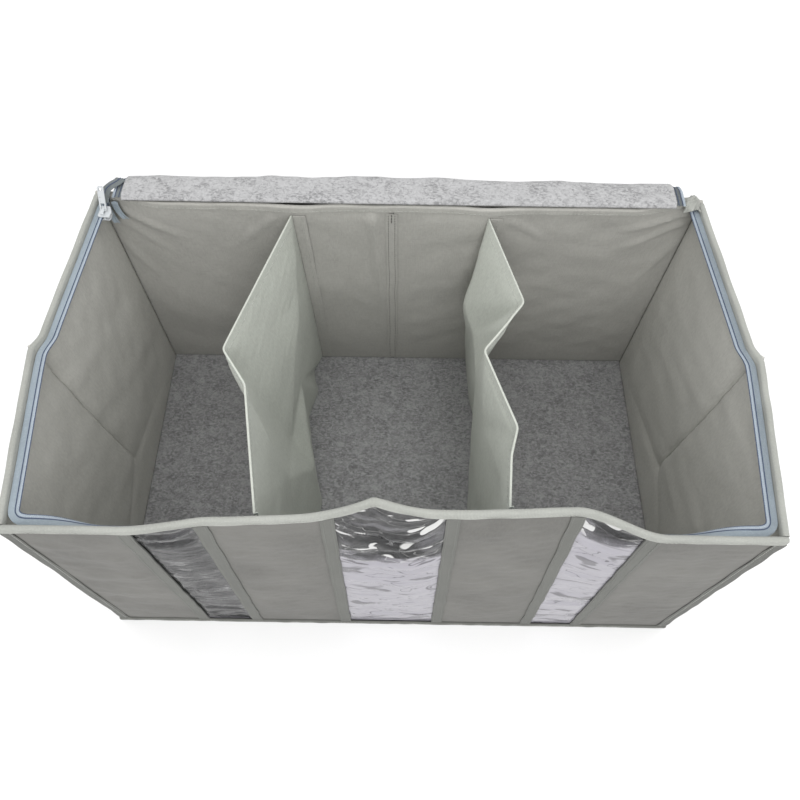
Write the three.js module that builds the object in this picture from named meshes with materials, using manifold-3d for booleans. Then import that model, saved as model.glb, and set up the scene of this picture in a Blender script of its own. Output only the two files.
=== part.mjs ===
// Soft storage box of non-woven cloth with three compartments, three clear front windows and a zipped lid.
// Millimetres. +X runs to the right of the front, +Y to the back and +Z up.
// The origin is the middle of the underside of the base. The lid is thrown back over the rear rim.

import * as THREE from 'three';
import { mergeVertices } from 'three/addons/utils/BufferGeometryUtils.js';
import Module from 'manifold-3d';

const wasm = await Module();
wasm.setup();

// Box
const WIDTH = 600;
const DEPTH = 350;
const HEIGHT = 300;
const SEAM_GAP = 0.3;              // air between two pieces that touch

// Thickness of the cloths, boards and tapes
const BASE_THICK = 3;
const FELT_FLOOR_THICK = 4;
const WALL_THICK = 3;              // side and back walls: a board between two plies
const FRONT_THICK = 2.4;           // front strips: quilted cloth
const VINYL_THICK = 0.8;
const TAPE_THICK = 0.9;            // binding tape, one ply
const DIVIDER_THICK = 2;
const HEM_THICK = 3.2;             // folded top edge of a divider
const COVER_THICK = 1.5;           // outer cloth of the lid
const LINING_THICK = 2.2;          // felt lining of the lid
const LID_BOARD_THICK = 0.9;
const STRAP_THICK = 1.8;

// Front wall: clear windows between cloth strips, each window edge bound with tape
const WINDOW_LEFT_CENTRE = -178.5;
const WINDOW_LEFT_WIDTH = 47;
const WINDOW_MIDDLE_CENTRE = -2;
const WINDOW_MIDDLE_WIDTH = 88;
const WINDOW_RIGHT_CENTRE = 173.5;
const WINDOW_RIGHT_WIDTH = 44;
const WINDOW_TAPE_WIDTH = 11.5;
const SEAM_BITE = 4;               // how far an edge reaches into its binding
const VINYL_RIPPLE = 1.6;          // height of the slack folds in the vinyl
const VINYL_RIPPLES = 3;

// Bindings on the edges of the box
const RIM_TAPE_HEIGHT = 11;
const RIM_TAPE_ROUND = 1;
const BOTTOM_TAPE_HEIGHT = 9;
const BOTTOM_TAPE_THICK = 1.8;
const BOTTOM_TAPE_ROUND = 2;
const CORNER_TAPE_LEG = 9;
const BACK_SEAM_WIDTH = 12;
const BACK_SEAM_X = -7;

// How the soft walls have settled: millimetres at the rim, fading to nothing at the base
const FRONT_SLACK = 15;            // the front leans in between its outer windows
const FRONT_SKEW = 0.045;          // more to the right of the middle, per millimetre
const FRONT_SLACK_REACH = 212;
const FRONT_SLACK_EASE = 70;
const FRONT_PEAK = 13;             // the middle window's top is pushed in to a peak
const FRONT_PEAK_X = -15;
const FRONT_PEAK_SPREAD = 33;
const FRONT_HOLLOW = 1.4;          // power of the curve from base to rim: 1 is straight
const SIDE_BULGE = 13.5;           // the sides stand out at their fold line
const SIDE_FOLD_Y = -9;
const SIDE_FOLD_SOFTNESS = 14;
const SIDE_HOLLOW = 1.2;
const BACK_PULL = 12;              // the back leans in between its corners
const BACK_PULL_REACH = 294;
const BACK_PULL_EASE = 64;
const BACK_TUG = 3;                // and a little more where each divider pulls
const BACK_TUG_SPREAD = 30;
const BACK_HOLLOW = 1.6;

// Dividers
const DIVIDER_LEFT_X = -103;
const DIVIDER_RIGHT_X = 89;
const DIVIDER_DROP = 12;           // from the rim down to a divider's top
const DIVIDER_SWAY = 50;           // a lean of 1 in the folds below
const DIVIDER_SAG = 2;             // how far the top edge hangs down between the walls
const HEM_HEIGHT = 12;
const HEM_LEDGE = 0.6;             // height over which the cloth thickens into its hem
const FLANGE_WIDTH = 13;
const FLANGE_THICK = 1.2;
const FLANGE_TUCKED = 2;           // what is left of a flange's width beside the hanging zip tape
const ZIP_CLEAR = 1;               // air between a divider's top and the hanging zip tape

// Zip chain and slider
const ZIP_DROP = 4.6;              // from the rim down to the zip tape
const ZIP_TAPE_WIDTH = 7;          // what shows of the tape beside its seam
const ZIP_TAPE_THICK = 0.9;
const COIL_WIDTH = 2.8;
const COIL_HEIGHT = 2;
const ZIP_CORNER_RADIUS = 14;
const ZIP_FRONT_DROOP = 72;        // degrees that the front tape hangs down inside
const ZIP_DROOP_EASE = 60;         // from each front corner until it hangs down fully
const SLIDER_LENGTH = 14;
const SLIDER_PLATE = 1.1;
const SLIDER_WALL = 1.2;
const SLIDER_CLEAR = 0.35;
const SLIDER_POST = 2.4;
const SLIDER_PARK = 25;            // from the back of the box to the parked slider
const CROWN_WIDTH = 3;
const CROWN_LENGTH = 10.6;
const CROWN_THICK = 1.2;
const PULL_LENGTH = 24;
const PULL_WIDTH = 6.4;
const PULL_THICK = 1.2;
const PULL_HOLE_RADIUS = 1.6;
const PULL_REST = 120;             // degrees from lying forward to its rest, leaning back

// Lid
const LID_ROLL = 30;               // from the rear rim to the bend behind it
const LID_EDGE_INSET = 18;         // closed, the lid's coil lies this far inside the box's outside
const LID_SWING = 178;             // degrees from rest to closed at the rear rim
const LID_BEND = 92;               // degrees of bend at rest behind the rim
const LID_RIM_GAP = 0.4;

// Handles
const HANDLE_DROP = 38;            // from the rim down to the strap
const HANDLE_STRAP_WIDTH = 26;
const HANDLE_SPAN = 120;
const HANDLE_END = 24;
const HANDLE_BOW = 14;

// Grid of facets on the cloth
const FRONT_COLUMN = 8;            // along the front, whose folds are the tightest
const BACK_COLUMN = 12;
const SIDE_COLUMN = 14;
const CHAIN_COLUMN = 12;
const STRAIGHT_COLUMN = 40;        // along tapes that hardly bend
const ROW = 46;                    // up a wall
const VINYL_ROW = 21;
const DIVIDER_COLUMN = 24;
const DIVIDER_ROW = 44;
const CORNER_STEPS = 5;            // round a quarter turn

const { clamp, degToRad, lerp, smoothstep } = THREE.MathUtils;

const OUTER_SKIN = SEAM_GAP + TAPE_THICK;
const HALF_WIDTH = WIDTH / 2;
const HALF_DEPTH = DEPTH / 2;
const WALL_FOOT = BASE_THICK + SEAM_GAP;
const WALL_TOP = HEIGHT - TAPE_THICK - SEAM_GAP;
const RIM_FOOT = HEIGHT - RIM_TAPE_HEIGHT;
const TAPES_FROM = BOTTOM_TAPE_HEIGHT + SEAM_GAP;
const TAPES_TO = RIM_FOOT - SEAM_GAP;
const FLOOR_TOP = WALL_FOOT + FELT_FLOOR_THICK;
const DIVIDER_TOP = HEIGHT - DIVIDER_DROP;
const HANDLE_TOP = HEIGHT - HANDLE_DROP;
const SLIDER_REST_Y = HALF_DEPTH - SLIDER_PARK;

// Finishes

const finish = (color, roughness, metalness = 0) => () =>
  new THREE.MeshStandardMaterial({ color, roughness, metalness, flatShading: true });
const clearVinyl = () => new THREE.MeshStandardMaterial({
  color: 0xdcdce2, roughness: 0.12, metalness: 0, transparent: true, opacity: 0.35,
});
const shellCloth = finish(0x9a9992, 0.9);
const liningCloth = finish(0x8f8f88, 0.92);
const tapeCloth = finish(0xaeb1a9, 0.88);
const dividerCloth = finish(0xadb0a7, 0.9);
const floorFelt = finish(0x7a7a7b, 0.97);
const lidFelt = finish(0xb9b9b8, 0.97);
const board = finish(0xb59b74, 0.9);
const zipTape = finish(0x8197ad, 0.8);
const palePaint = finish(0xd9dbdc, 0.35);

// Building blocks

/** Shared corners are welded, so that the geometry is one closed body. */
function welded(geometry) {
  const bare = new THREE.BufferGeometry();
  bare.setAttribute('position', geometry.getAttribute('position'));
  if (geometry.index) {
    bare.setIndex(geometry.index);
  }
  const result = mergeVertices(bare, 1e-4);
  result.computeVertexNormals();
  return result;
}

/** A named mesh of one finish, added to its parent. */
function piece(parent, name, geometry, material) {
  const mesh = new THREE.Mesh(welded(geometry), material());
  mesh.name = name;
  parent.add(mesh);
  return mesh;
}

/** Moves every vertex of a geometry by a function that changes the point it is given. */
function bend(geometry, place) {
  const position = geometry.getAttribute('position');
  const point = new THREE.Vector3();
  for (let i = 0; i < position.count; i += 1) {
    point.fromBufferAttribute(position, i);
    place(point);
    position.setXYZ(i, point.x, point.y, point.z);
  }
  return geometry;
}

/** How many facets of about one step cover a length. */
function facets(length, step) {
  return Math.max(1, Math.round(length / step));
}

/** A slab between two corners, with a grid of facets on its faces. */
function slab([x0, x1], [y0, y1], [z0, z1], counts = [1, 1, 1]) {
  const geometry = new THREE.BoxGeometry(x1 - x0, y1 - y0, z1 - z0, ...counts);
  return geometry.translate((x0 + x1) / 2, (y0 + y1) / 2, (z0 + z1) / 2);
}

/** An outline of [a, b] points, extruded to a length along its third axis in equal steps. */
function extruded(outline, length, steps = 1) {
  const shape = new THREE.Shape(outline.map(([a, b]) => new THREE.Vector2(a, b)));
  return new THREE.ExtrudeGeometry(shape, { depth: length, steps, bevelEnabled: false });
}

/** A strip along X whose outline is given in [y, z]. */
function stripAlongX(outline, from, to, step) {
  const turn = new THREE.Matrix4().makeBasis(
    new THREE.Vector3(0, 1, 0), new THREE.Vector3(0, 0, 1), new THREE.Vector3(1, 0, 0));
  return extruded(outline, to - from, facets(to - from, step)).applyMatrix4(turn).translate(from, 0, 0);
}

/** A strip along Y whose outline is given in [x, z]. */
function stripAlongY(outline, from, to, step) {
  const turn = new THREE.Matrix4().makeBasis(
    new THREE.Vector3(1, 0, 0), new THREE.Vector3(0, 0, 1), new THREE.Vector3(0, -1, 0));
  return extruded(outline, to - from, facets(to - from, step)).applyMatrix4(turn).translate(0, to, 0);
}

/** A strip along Z whose outline is given in [x, y]. */
function stripAlongZ(outline, from, to) {
  return extruded(outline, to - from, facets(to - from, ROW)).translate(0, 0, from);
}

/** A closed geometry as a solid that can be cut and joined. */
function toSolid(geometry) {
  const mesh = welded(geometry);
  return new wasm.Manifold(new wasm.Mesh({
    numProp: 3,
    vertProperties: new Float32Array(mesh.getAttribute('position').array),
    triVerts: new Uint32Array(mesh.index.array),
  }));
}

/** A cut or joined solid back as a geometry. */
function toGeometry(solid) {
  const mesh = solid.getMesh();
  const geometry = new THREE.BufferGeometry();
  geometry.setAttribute('position', new THREE.BufferAttribute(new Float32Array(mesh.vertProperties), 3));
  geometry.setIndex(new THREE.BufferAttribute(new Uint32Array(mesh.triVerts), 1));
  return geometry;
}

// How the walls have settled

const bump = (distance, spread) => Math.exp(-((distance / spread) ** 2));
const rise = (z, power) => clamp(z / HEIGHT, 0, 1) ** power;

/** How far the front wall has come in, towards +Y. */
function frontSlack(x, z) {
  const inner = smoothstep(FRONT_SLACK_REACH - Math.abs(x), 0, FRONT_SLACK_EASE);
  const slack = inner * (FRONT_SLACK + FRONT_SKEW * x);
  return rise(z, FRONT_HOLLOW) * (slack + FRONT_PEAK * bump(x - FRONT_PEAK_X, FRONT_PEAK_SPREAD));
}

/** How far the back wall has come in, towards -Y. */
function backPull(x, z) {
  const inner = smoothstep(BACK_PULL_REACH - Math.abs(x), 0, BACK_PULL_EASE);
  const tug = bump(x - DIVIDER_LEFT_X, BACK_TUG_SPREAD) + bump(x - DIVIDER_RIGHT_X, BACK_TUG_SPREAD);
  return rise(z, BACK_HOLLOW) * (inner * BACK_PULL + tug * BACK_TUG);
}

/** How far a side wall stands out at its fold line. */
function sideBulge(y, z) {
  const away = y - SIDE_FOLD_Y;
  const reach = HALF_DEPTH - Math.sign(away) * SIDE_FOLD_Y;
  const rounded = Math.hypot(away, SIDE_FOLD_SOFTNESS) - SIDE_FOLD_SOFTNESS;
  return SIDE_BULGE * Math.max(0, 1 - rounded / reach) * rise(z, SIDE_HOLLOW);
}

const onFront = (p) => { p.y += frontSlack(p.x, p.z); };
const onBack = (p) => { p.y -= backPull(p.x, p.z); };
const onSide = (side) => (p) => { p.x += side * sideBulge(p.y, p.z); };

// Outlines

/** An inverted U of tape over a wall top, between the wall's outer and inner faces. */
function rimOutline(outer, inner) {
  const side = Math.sign(inner - outer);
  const skinOuter = outer - side * OUTER_SKIN;
  const skinInner = inner + side * OUTER_SKIN;
  const slotOuter = outer - side * SEAM_GAP;
  const slotInner = inner + side * SEAM_GAP;
  const slotTop = HEIGHT - TAPE_THICK;
  return [
    [skinOuter, RIM_FOOT], [slotOuter, RIM_FOOT], [slotOuter, slotTop],
    [slotInner, slotTop], [slotInner, RIM_FOOT], [skinInner, RIM_FOOT],
    [skinInner, HEIGHT - RIM_TAPE_ROUND], [skinInner - side * RIM_TAPE_ROUND, HEIGHT],
    [skinOuter + side * RIM_TAPE_ROUND, HEIGHT], [skinOuter, HEIGHT - RIM_TAPE_ROUND],
  ];
}

/** An H of tape round two edges that meet. Each half has its own slot, given as [low, high] in Y. */
function joinOutline(centre, width, slotLeft, slotRight, low, high) {
  const half = width / 2;
  const web = half - SEAM_BITE - SEAM_GAP;
  return [
    [-half, low], [half, low], [half, slotRight[0]], [web, slotRight[0]],
    [web, slotRight[1]], [half, slotRight[1]], [half, high], [-half, high],
    [-half, slotLeft[1]], [-web, slotLeft[1]], [-web, slotLeft[0]], [-half, slotLeft[0]],
  ].map(([x, y]) => [centre + x, y]);
}

/** A rolled tape on the outside of a bottom edge: a flat back and a rounded front. */
function bottomOutline(outer, side) {
  const back = outer + side * SEAM_GAP;
  const front = back + side * BOTTOM_TAPE_THICK;
  const soft = (back + front) / 2;
  return [
    [back, 0], [soft, 0], [front, BOTTOM_TAPE_ROUND], [front, BOTTOM_TAPE_HEIGHT - BOTTOM_TAPE_ROUND],
    [soft, BOTTOM_TAPE_HEIGHT], [back, BOTTOM_TAPE_HEIGHT],
  ];
}

/** Zip chain: tape from the seam outwards to a coil bead, as [reach, height] about the tape's middle. */
const CHAIN_WIDTH = ZIP_TAPE_WIDTH + COIL_WIDTH;
function chainOutline(seam) {
  const half = ZIP_TAPE_THICK / 2;
  const bead = COIL_HEIGHT / 2;
  const round = COIL_HEIGHT / 4;
  return [
    [seam, half], [seam, -half], [ZIP_TAPE_WIDTH, -half], [ZIP_TAPE_WIDTH + round, -bead],
    [CHAIN_WIDTH, -round], [CHAIN_WIDTH, round], [ZIP_TAPE_WIDTH + round, bead], [ZIP_TAPE_WIDTH, half],
  ];
}

/** A plan path down the left, along the front and up the right, with round corners. */
function threeSidedPath(halfWidth, front, back, radius) {
  const path = new THREE.CurvePath();
  const at = (x, y) => new THREE.Vector2(x, y);
  const corner = (x, y, start, end) => new THREE.EllipseCurve(x, y, radius, radius, start, end);
  path.add(new THREE.LineCurve(at(-halfWidth, back), at(-halfWidth, front + radius)));
  path.add(corner(-halfWidth + radius, front + radius, Math.PI, 1.5 * Math.PI));
  path.add(new THREE.LineCurve(at(-halfWidth + radius, front), at(halfWidth - radius, front)));
  path.add(corner(halfWidth - radius, front + radius, 1.5 * Math.PI, 2 * Math.PI));
  path.add(new THREE.LineCurve(at(halfWidth, front + radius), at(halfWidth, back)));
  return path;
}

/** Sweeps an outline of [reach, height] along a plan path. Reach is to the path's left times `side`. */
function sweptOnPlan(outline, path, z, side, sideStep, frontStep) {
  const stations = [];
  path.curves.forEach((curve, index) => {
    const step = index === 2 ? frontStep : sideStep;
    const count = curve.isEllipseCurve ? CORNER_STEPS : facets(curve.getLength(), step);
    for (let i = 0; i < count; i += 1) {
      stations.push({ point: curve.getPoint(i / count), along: curve.getTangent(i / count) });
    }
  });
  const last = path.curves[path.curves.length - 1];
  stations.push({ point: last.getPoint(1), along: last.getTangent(1) });
  const mirrored = side > 0 ? outline : outline.map(([reach, height]) => [-reach, height]);
  const steps = stations.length - 1;
  return bend(extruded(mirrored, steps, steps), (p) => {
    const { point, along } = stations[Math.round(p.z)];
    const reach = p.x;
    p.set(point.x - along.y * reach, point.y + along.x * reach, z + p.y);
  });
}

const box = new THREE.Group();

// Base and floor

function addBase() {
  const base = slab([-HALF_WIDTH, HALF_WIDTH], [-HALF_DEPTH, HALF_DEPTH], [0, BASE_THICK]);
  piece(box, 'base_panel', base, shellCloth);
  const x = HALF_WIDTH - WALL_THICK - SEAM_GAP;
  const front = -HALF_DEPTH + FRONT_THICK + SEAM_GAP;
  const back = HALF_DEPTH - WALL_THICK - SEAM_GAP;
  piece(box, 'floor_felt', slab([-x, x], [front, back], [WALL_FOOT, FLOOR_TOP]), floorFelt);
}

// Front wall

const WINDOWS = [
  { name: 'left', centre: WINDOW_LEFT_CENTRE, width: WINDOW_LEFT_WIDTH },
  { name: 'middle', centre: WINDOW_MIDDLE_CENTRE, width: WINDOW_MIDDLE_WIDTH },
  { name: 'right', centre: WINDOW_RIGHT_CENTRE, width: WINDOW_RIGHT_WIDTH },
];

/** X of the middle of the tape on one edge of a window. */
const windowTape = (window, side) => window.centre + side * (window.width + WINDOW_TAPE_WIDTH) / 2;

function addFrontStrips() {
  const web = WINDOW_TAPE_WIDTH / 2 - SEAM_BITE;
  const edges = [-HALF_WIDTH];
  WINDOWS.forEach((window) => {
    edges.push(windowTape(window, -1) - web, windowTape(window, 1) + web);
  });
  edges.push(HALF_WIDTH);
  const rows = facets(WALL_TOP - WALL_FOOT, ROW);
  for (let i = 0; i < edges.length; i += 2) {
    const width = edges[i + 1] - edges[i];
    const strip = slab(
      [edges[i], edges[i + 1]], [-HALF_DEPTH, -HALF_DEPTH + FRONT_THICK], [WALL_FOOT, WALL_TOP],
      [facets(width, FRONT_COLUMN), 1, rows]);
    piece(box, `front_strip_${i / 2 + 1}`, bend(strip, onFront), shellCloth);
  }
}

function addWindows() {
  const middle = -HALF_DEPTH + FRONT_THICK / 2;
  const web = WINDOW_TAPE_WIDTH / 2 - SEAM_BITE;
  WINDOWS.forEach((window) => {
    const left = windowTape(window, -1) + web;
    const right = windowTape(window, 1) - web;
    const pane = slab(
      [left, right], [middle - VINYL_THICK / 2, middle + VINYL_THICK / 2], [WALL_FOOT, WALL_TOP],
      [facets(right - left, FRONT_COLUMN), 1, facets(WALL_TOP - WALL_FOOT, VINYL_ROW)]);
    const slack = (p) => {
      const across = clamp((Math.abs(p.x - window.centre) * 2) / window.width, 0, 1);
      const up = clamp((p.z - TAPES_FROM) / (TAPES_TO - TAPES_FROM), 0, 1);
      const hold = (1 - across ** 2) * Math.sin(Math.PI * up);
      p.y += VINYL_RIPPLE * hold * Math.sin(2 * Math.PI * VINYL_RIPPLES * up + p.x / window.width);
    };
    piece(box, `front_window_${window.name}`, bend(bend(pane, slack), onFront), clearVinyl);
  });
}

function addWindowTapes() {
  const low = -HALF_DEPTH - OUTER_SKIN;
  const high = -HALF_DEPTH + FRONT_THICK + OUTER_SKIN;
  const cloth = [-HALF_DEPTH - SEAM_GAP, -HALF_DEPTH + FRONT_THICK + SEAM_GAP];
  const middle = -HALF_DEPTH + FRONT_THICK / 2;
  const room = VINYL_THICK / 2 + SEAM_GAP;
  const vinyl = [middle - room, middle + room];
  WINDOWS.forEach((window) => {
    [-1, 1].forEach((side) => {
      const slots = side < 0 ? [cloth, vinyl] : [vinyl, cloth];
      const outline = joinOutline(windowTape(window, side), WINDOW_TAPE_WIDTH, ...slots, low, high);
      const name = `window_tape_${window.name}_${side < 0 ? 'a' : 'b'}`;
      piece(box, name, bend(stripAlongZ(outline, TAPES_FROM, TAPES_TO), onFront), tapeCloth);
    });
  });
}

// Side and back walls

const SIDE_FROM = -HALF_DEPTH + FRONT_THICK + SEAM_GAP + OUTER_SKIN;
const SIDE_TO = HALF_DEPTH - WALL_THICK - SEAM_GAP - OUTER_SKIN;

function addSideWalls() {
  const counts = [1, facets(SIDE_TO - SIDE_FROM, SIDE_COLUMN), facets(WALL_TOP - WALL_FOOT, ROW)];
  [-1, 1].forEach((side) => {
    const faces = [side * (HALF_WIDTH - WALL_THICK), side * HALF_WIDTH].sort((a, b) => a - b);
    const wall = slab(faces, [SIDE_FROM, SIDE_TO], [WALL_FOOT, WALL_TOP], counts);
    piece(box, `side_wall_${side < 0 ? 'left' : 'right'}`, bend(wall, onSide(side)), liningCloth);
  });
}

function addBackWall() {
  const web = BACK_SEAM_WIDTH / 2 - SEAM_BITE;
  const rows = facets(WALL_TOP - WALL_FOOT, ROW);
  const panels = [
    ['back_panel_left', -HALF_WIDTH, BACK_SEAM_X - web],
    ['back_panel_right', BACK_SEAM_X + web, HALF_WIDTH],
  ];
  panels.forEach(([name, from, to]) => {
    const wall = slab([from, to], [HALF_DEPTH - WALL_THICK, HALF_DEPTH], [WALL_FOOT, WALL_TOP],
      [facets(to - from, BACK_COLUMN), 1, rows]);
    piece(box, name, bend(wall, onBack), liningCloth);
  });
  const slot = [HALF_DEPTH - WALL_THICK - SEAM_GAP, HALF_DEPTH + SEAM_GAP];
  const outline = joinOutline(BACK_SEAM_X, BACK_SEAM_WIDTH, slot, slot,
    HALF_DEPTH - WALL_THICK - OUTER_SKIN, HALF_DEPTH + OUTER_SKIN);
  const from = FLOOR_TOP + SEAM_GAP;
  piece(box, 'back_centre_seam', bend(stripAlongZ(outline, Math.max(from, TAPES_FROM), TAPES_TO), onBack),
    liningCloth);
}

// Binding tapes on the edges

function addCornerTapes() {
  [-1, 1].forEach((side) => {
    [-1, 1].forEach((end) => {
      const outline = [
        [OUTER_SKIN, OUTER_SKIN], [OUTER_SKIN, -CORNER_TAPE_LEG], [SEAM_GAP, -CORNER_TAPE_LEG],
        [SEAM_GAP, SEAM_GAP], [-CORNER_TAPE_LEG, SEAM_GAP], [-CORNER_TAPE_LEG, OUTER_SKIN],
      ].map(([x, y]) => [side * (HALF_WIDTH + x), end * (HALF_DEPTH + y)]);
      const strip = stripAlongZ(outline, TAPES_FROM, TAPES_TO);
      const settle = end < 0 ? onFront : onBack;
      const name = `corner_tape_${end < 0 ? 'front' : 'back'}_${side < 0 ? 'left' : 'right'}`;
      piece(box, name, bend(bend(strip, onSide(side)), settle), tapeCloth);
    });
  });
}

function addBottomTapes() {
  const reach = HALF_WIDTH + SEAM_GAP + BOTTOM_TAPE_THICK;
  [-1, 1].forEach((end) => {
    const outline = bottomOutline(end * HALF_DEPTH, end);
    const name = `bottom_tape_${end < 0 ? 'front' : 'back'}`;
    piece(box, name, stripAlongX(outline, -reach, reach, STRAIGHT_COLUMN), tapeCloth);
  });
  [-1, 1].forEach((side) => {
    const outline = bottomOutline(side * HALF_WIDTH, side);
    const name = `bottom_tape_${side < 0 ? 'left' : 'right'}`;
    const strip = stripAlongY(outline, -HALF_DEPTH, HALF_DEPTH, STRAIGHT_COLUMN);
    piece(box, name, bend(strip, onSide(side)), tapeCloth);
  });
}

function addRimTapes() {
  const reach = HALF_WIDTH + OUTER_SKIN;
  const front = rimOutline(-HALF_DEPTH, -HALF_DEPTH + FRONT_THICK);
  piece(box, 'rim_tape_front', bend(stripAlongX(front, -reach, reach, FRONT_COLUMN), onFront), tapeCloth);
  const back = rimOutline(HALF_DEPTH, HALF_DEPTH - WALL_THICK);
  piece(box, 'rim_tape_back', bend(stripAlongX(back, -reach, reach, BACK_COLUMN), onBack), tapeCloth);
  [-1, 1].forEach((side) => {
    const outline = rimOutline(side * HALF_WIDTH, side * (HALF_WIDTH - WALL_THICK));
    const strip = stripAlongY(outline, SIDE_FROM, SIDE_TO, SIDE_COLUMN);
    piece(box, `rim_tape_${side < 0 ? 'left' : 'right'}`, bend(strip, onSide(side)), tapeCloth);
  });
}

// Zip chain round the rim

const ZIP_Z = HEIGHT - ZIP_DROP - ZIP_TAPE_THICK / 2;
const CHAIN_SIDE_X = HALF_WIDTH - WALL_THICK - OUTER_SKIN;
const CHAIN_FRONT_Y = -HALF_DEPTH + FRONT_THICK + OUTER_SKIN;
const HANG = degToRad(ZIP_FRONT_DROOP);

function addBoxChain() {
  const back = SIDE_TO - SEAM_GAP - backPull(CHAIN_SIDE_X - CHAIN_WIDTH, HEIGHT);
  const path = threeSidedPath(CHAIN_SIDE_X, CHAIN_FRONT_Y, back, ZIP_CORNER_RADIUS);
  const chain = sweptOnPlan(chainOutline(2 * SEAM_GAP), path, 0, 1, SIDE_COLUMN, CHAIN_COLUMN);
  const droopFrom = CHAIN_SIDE_X - ZIP_CORNER_RADIUS;
  bend(chain, (p) => {
    const inward = p.y - CHAIN_FRONT_Y;
    const inFront = inward < CHAIN_WIDTH + SEAM_GAP && Math.abs(p.x) < droopFrom;
    if (inFront) {
      const height = p.z;
      const angle = HANG * smoothstep(droopFrom - Math.abs(p.x), 0, ZIP_DROOP_EASE);
      const clear = height + ZIP_TAPE_THICK / 2 + SEAM_GAP;
      p.y = CHAIN_FRONT_Y + inward * Math.cos(angle) + clear * Math.sin(angle);
      p.z = height * Math.cos(angle) - inward * Math.sin(angle);
    }
    p.z += ZIP_Z;
    const onRim = smoothstep(Math.abs(p.x), droopFrom, CHAIN_SIDE_X - CHAIN_WIDTH);
    p.x += Math.sign(p.x) * onRim * sideBulge(p.y, p.z);
    p.y += inFront ? frontSlack(p.x, p.z) : 0;
  });
  piece(box, 'box_zip_chain', chain, zipTape);
}

// Dividers

const ZIP_ROOM = OUTER_SKIN + CHAIN_WIDTH * Math.cos(HANG) + COIL_HEIGHT + ZIP_CLEAR;
const ZIP_HANG_FOOT = ZIP_Z - CHAIN_WIDTH * Math.sin(HANG) - COIL_HEIGHT;

/**
 * How a divider's cloth hangs: its lean to the side, as a share of its sway, at columns from back to front
 * (share of the depth) and at four heights (share of the divider's height, top first).
 */
const FOLD_HEIGHTS = [1, 0.68, 0.34, 0];
const FOLDS_LEFT = [
  { at: 0, lean: [-0.1, -0.04, 0.02, 0.06] },
  { at: 0.18, lean: [-0.44, -0.1, -0.08, 0.02] },
  { at: 0.33, lean: [-0.72, -0.28, -0.18, -0.06] },
  { at: 0.505, lean: [-1.04, -0.56, -0.34, 0] },
  { at: 0.63, lean: [-0.6, -0.34, -0.1, 0.14] },
  { at: 0.79, lean: [-0.36, -0.12, 0.1, 0.24] },
  { at: 1, lean: [-0.08, -0.02, 0, 0.04] },
];
const FOLDS_RIGHT = [
  { at: 0, lean: [-0.02, -0.06, -0.02, 0] },
  { at: 0.16, lean: [0.26, -0.36, -0.18, -0.08] },
  { at: 0.345, lean: [0.62, 0.16, 0.04, 0.26] },
  { at: 0.51, lean: [-0.26, -0.08, 0.12, 0.1] },
  { at: 0.63, lean: [0.02, 0.06, 0.12, -0.08] },
  { at: 0.75, lean: [0.24, 0.16, 0.08, -0.06] },
  { at: 0.87, lean: [0.1, 0.1, 0.06, 0] },
  { at: 1, lean: [0.04, 0.02, 0, 0] },
];

/** Sideways lean of a divider's cloth at a share of the depth and of the height. */
function leanAt(folds, along, up) {
  let column = folds.findIndex((fold) => fold.at > along) - 1;
  column = column < 0 ? folds.length - 2 : column;
  const [a, b] = [folds[column], folds[column + 1]];
  const across = clamp((along - a.at) / (b.at - a.at), 0, 1);
  let row = FOLD_HEIGHTS.findIndex((height) => height < up) - 1;
  row = clamp(row, 0, FOLD_HEIGHTS.length - 2);
  if (up <= 0) {
    row = FOLD_HEIGHTS.length - 2;
  }
  const down = clamp((FOLD_HEIGHTS[row] - up) / (FOLD_HEIGHTS[row] - FOLD_HEIGHTS[row + 1]), 0, 1);
  const upper = lerp(a.lean[row], b.lean[row], across);
  const lower = lerp(a.lean[row + 1], b.lean[row + 1], across);
  return DIVIDER_SWAY * lerp(upper, lower, down * down * (3 - 2 * down));
}

/** The plan of a divider as [across, share of the depth]: a straight web with a flange at each end. */
function dividerOutline() {
  const half = DIVIDER_THICK / 2;
  const stations = facets(DEPTH, DIVIDER_COLUMN);
  const flange = FLANGE_THICK / DEPTH;
  const inner = [flange];
  for (let i = 1; i < stations; i += 1) {
    inner.push(i / stations);
  }
  inner.push(1 - flange);
  const tip = half + FLANGE_WIDTH;
  const plain = [0, ...inner, 1].map((along) => [-half, along]);
  const flanged = inner.map((along) => [half, along]).reverse();
  return [...plain, [tip, 1], [tip, 1 - flange], ...flanged, [tip, flange], [tip, 0]];
}

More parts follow.
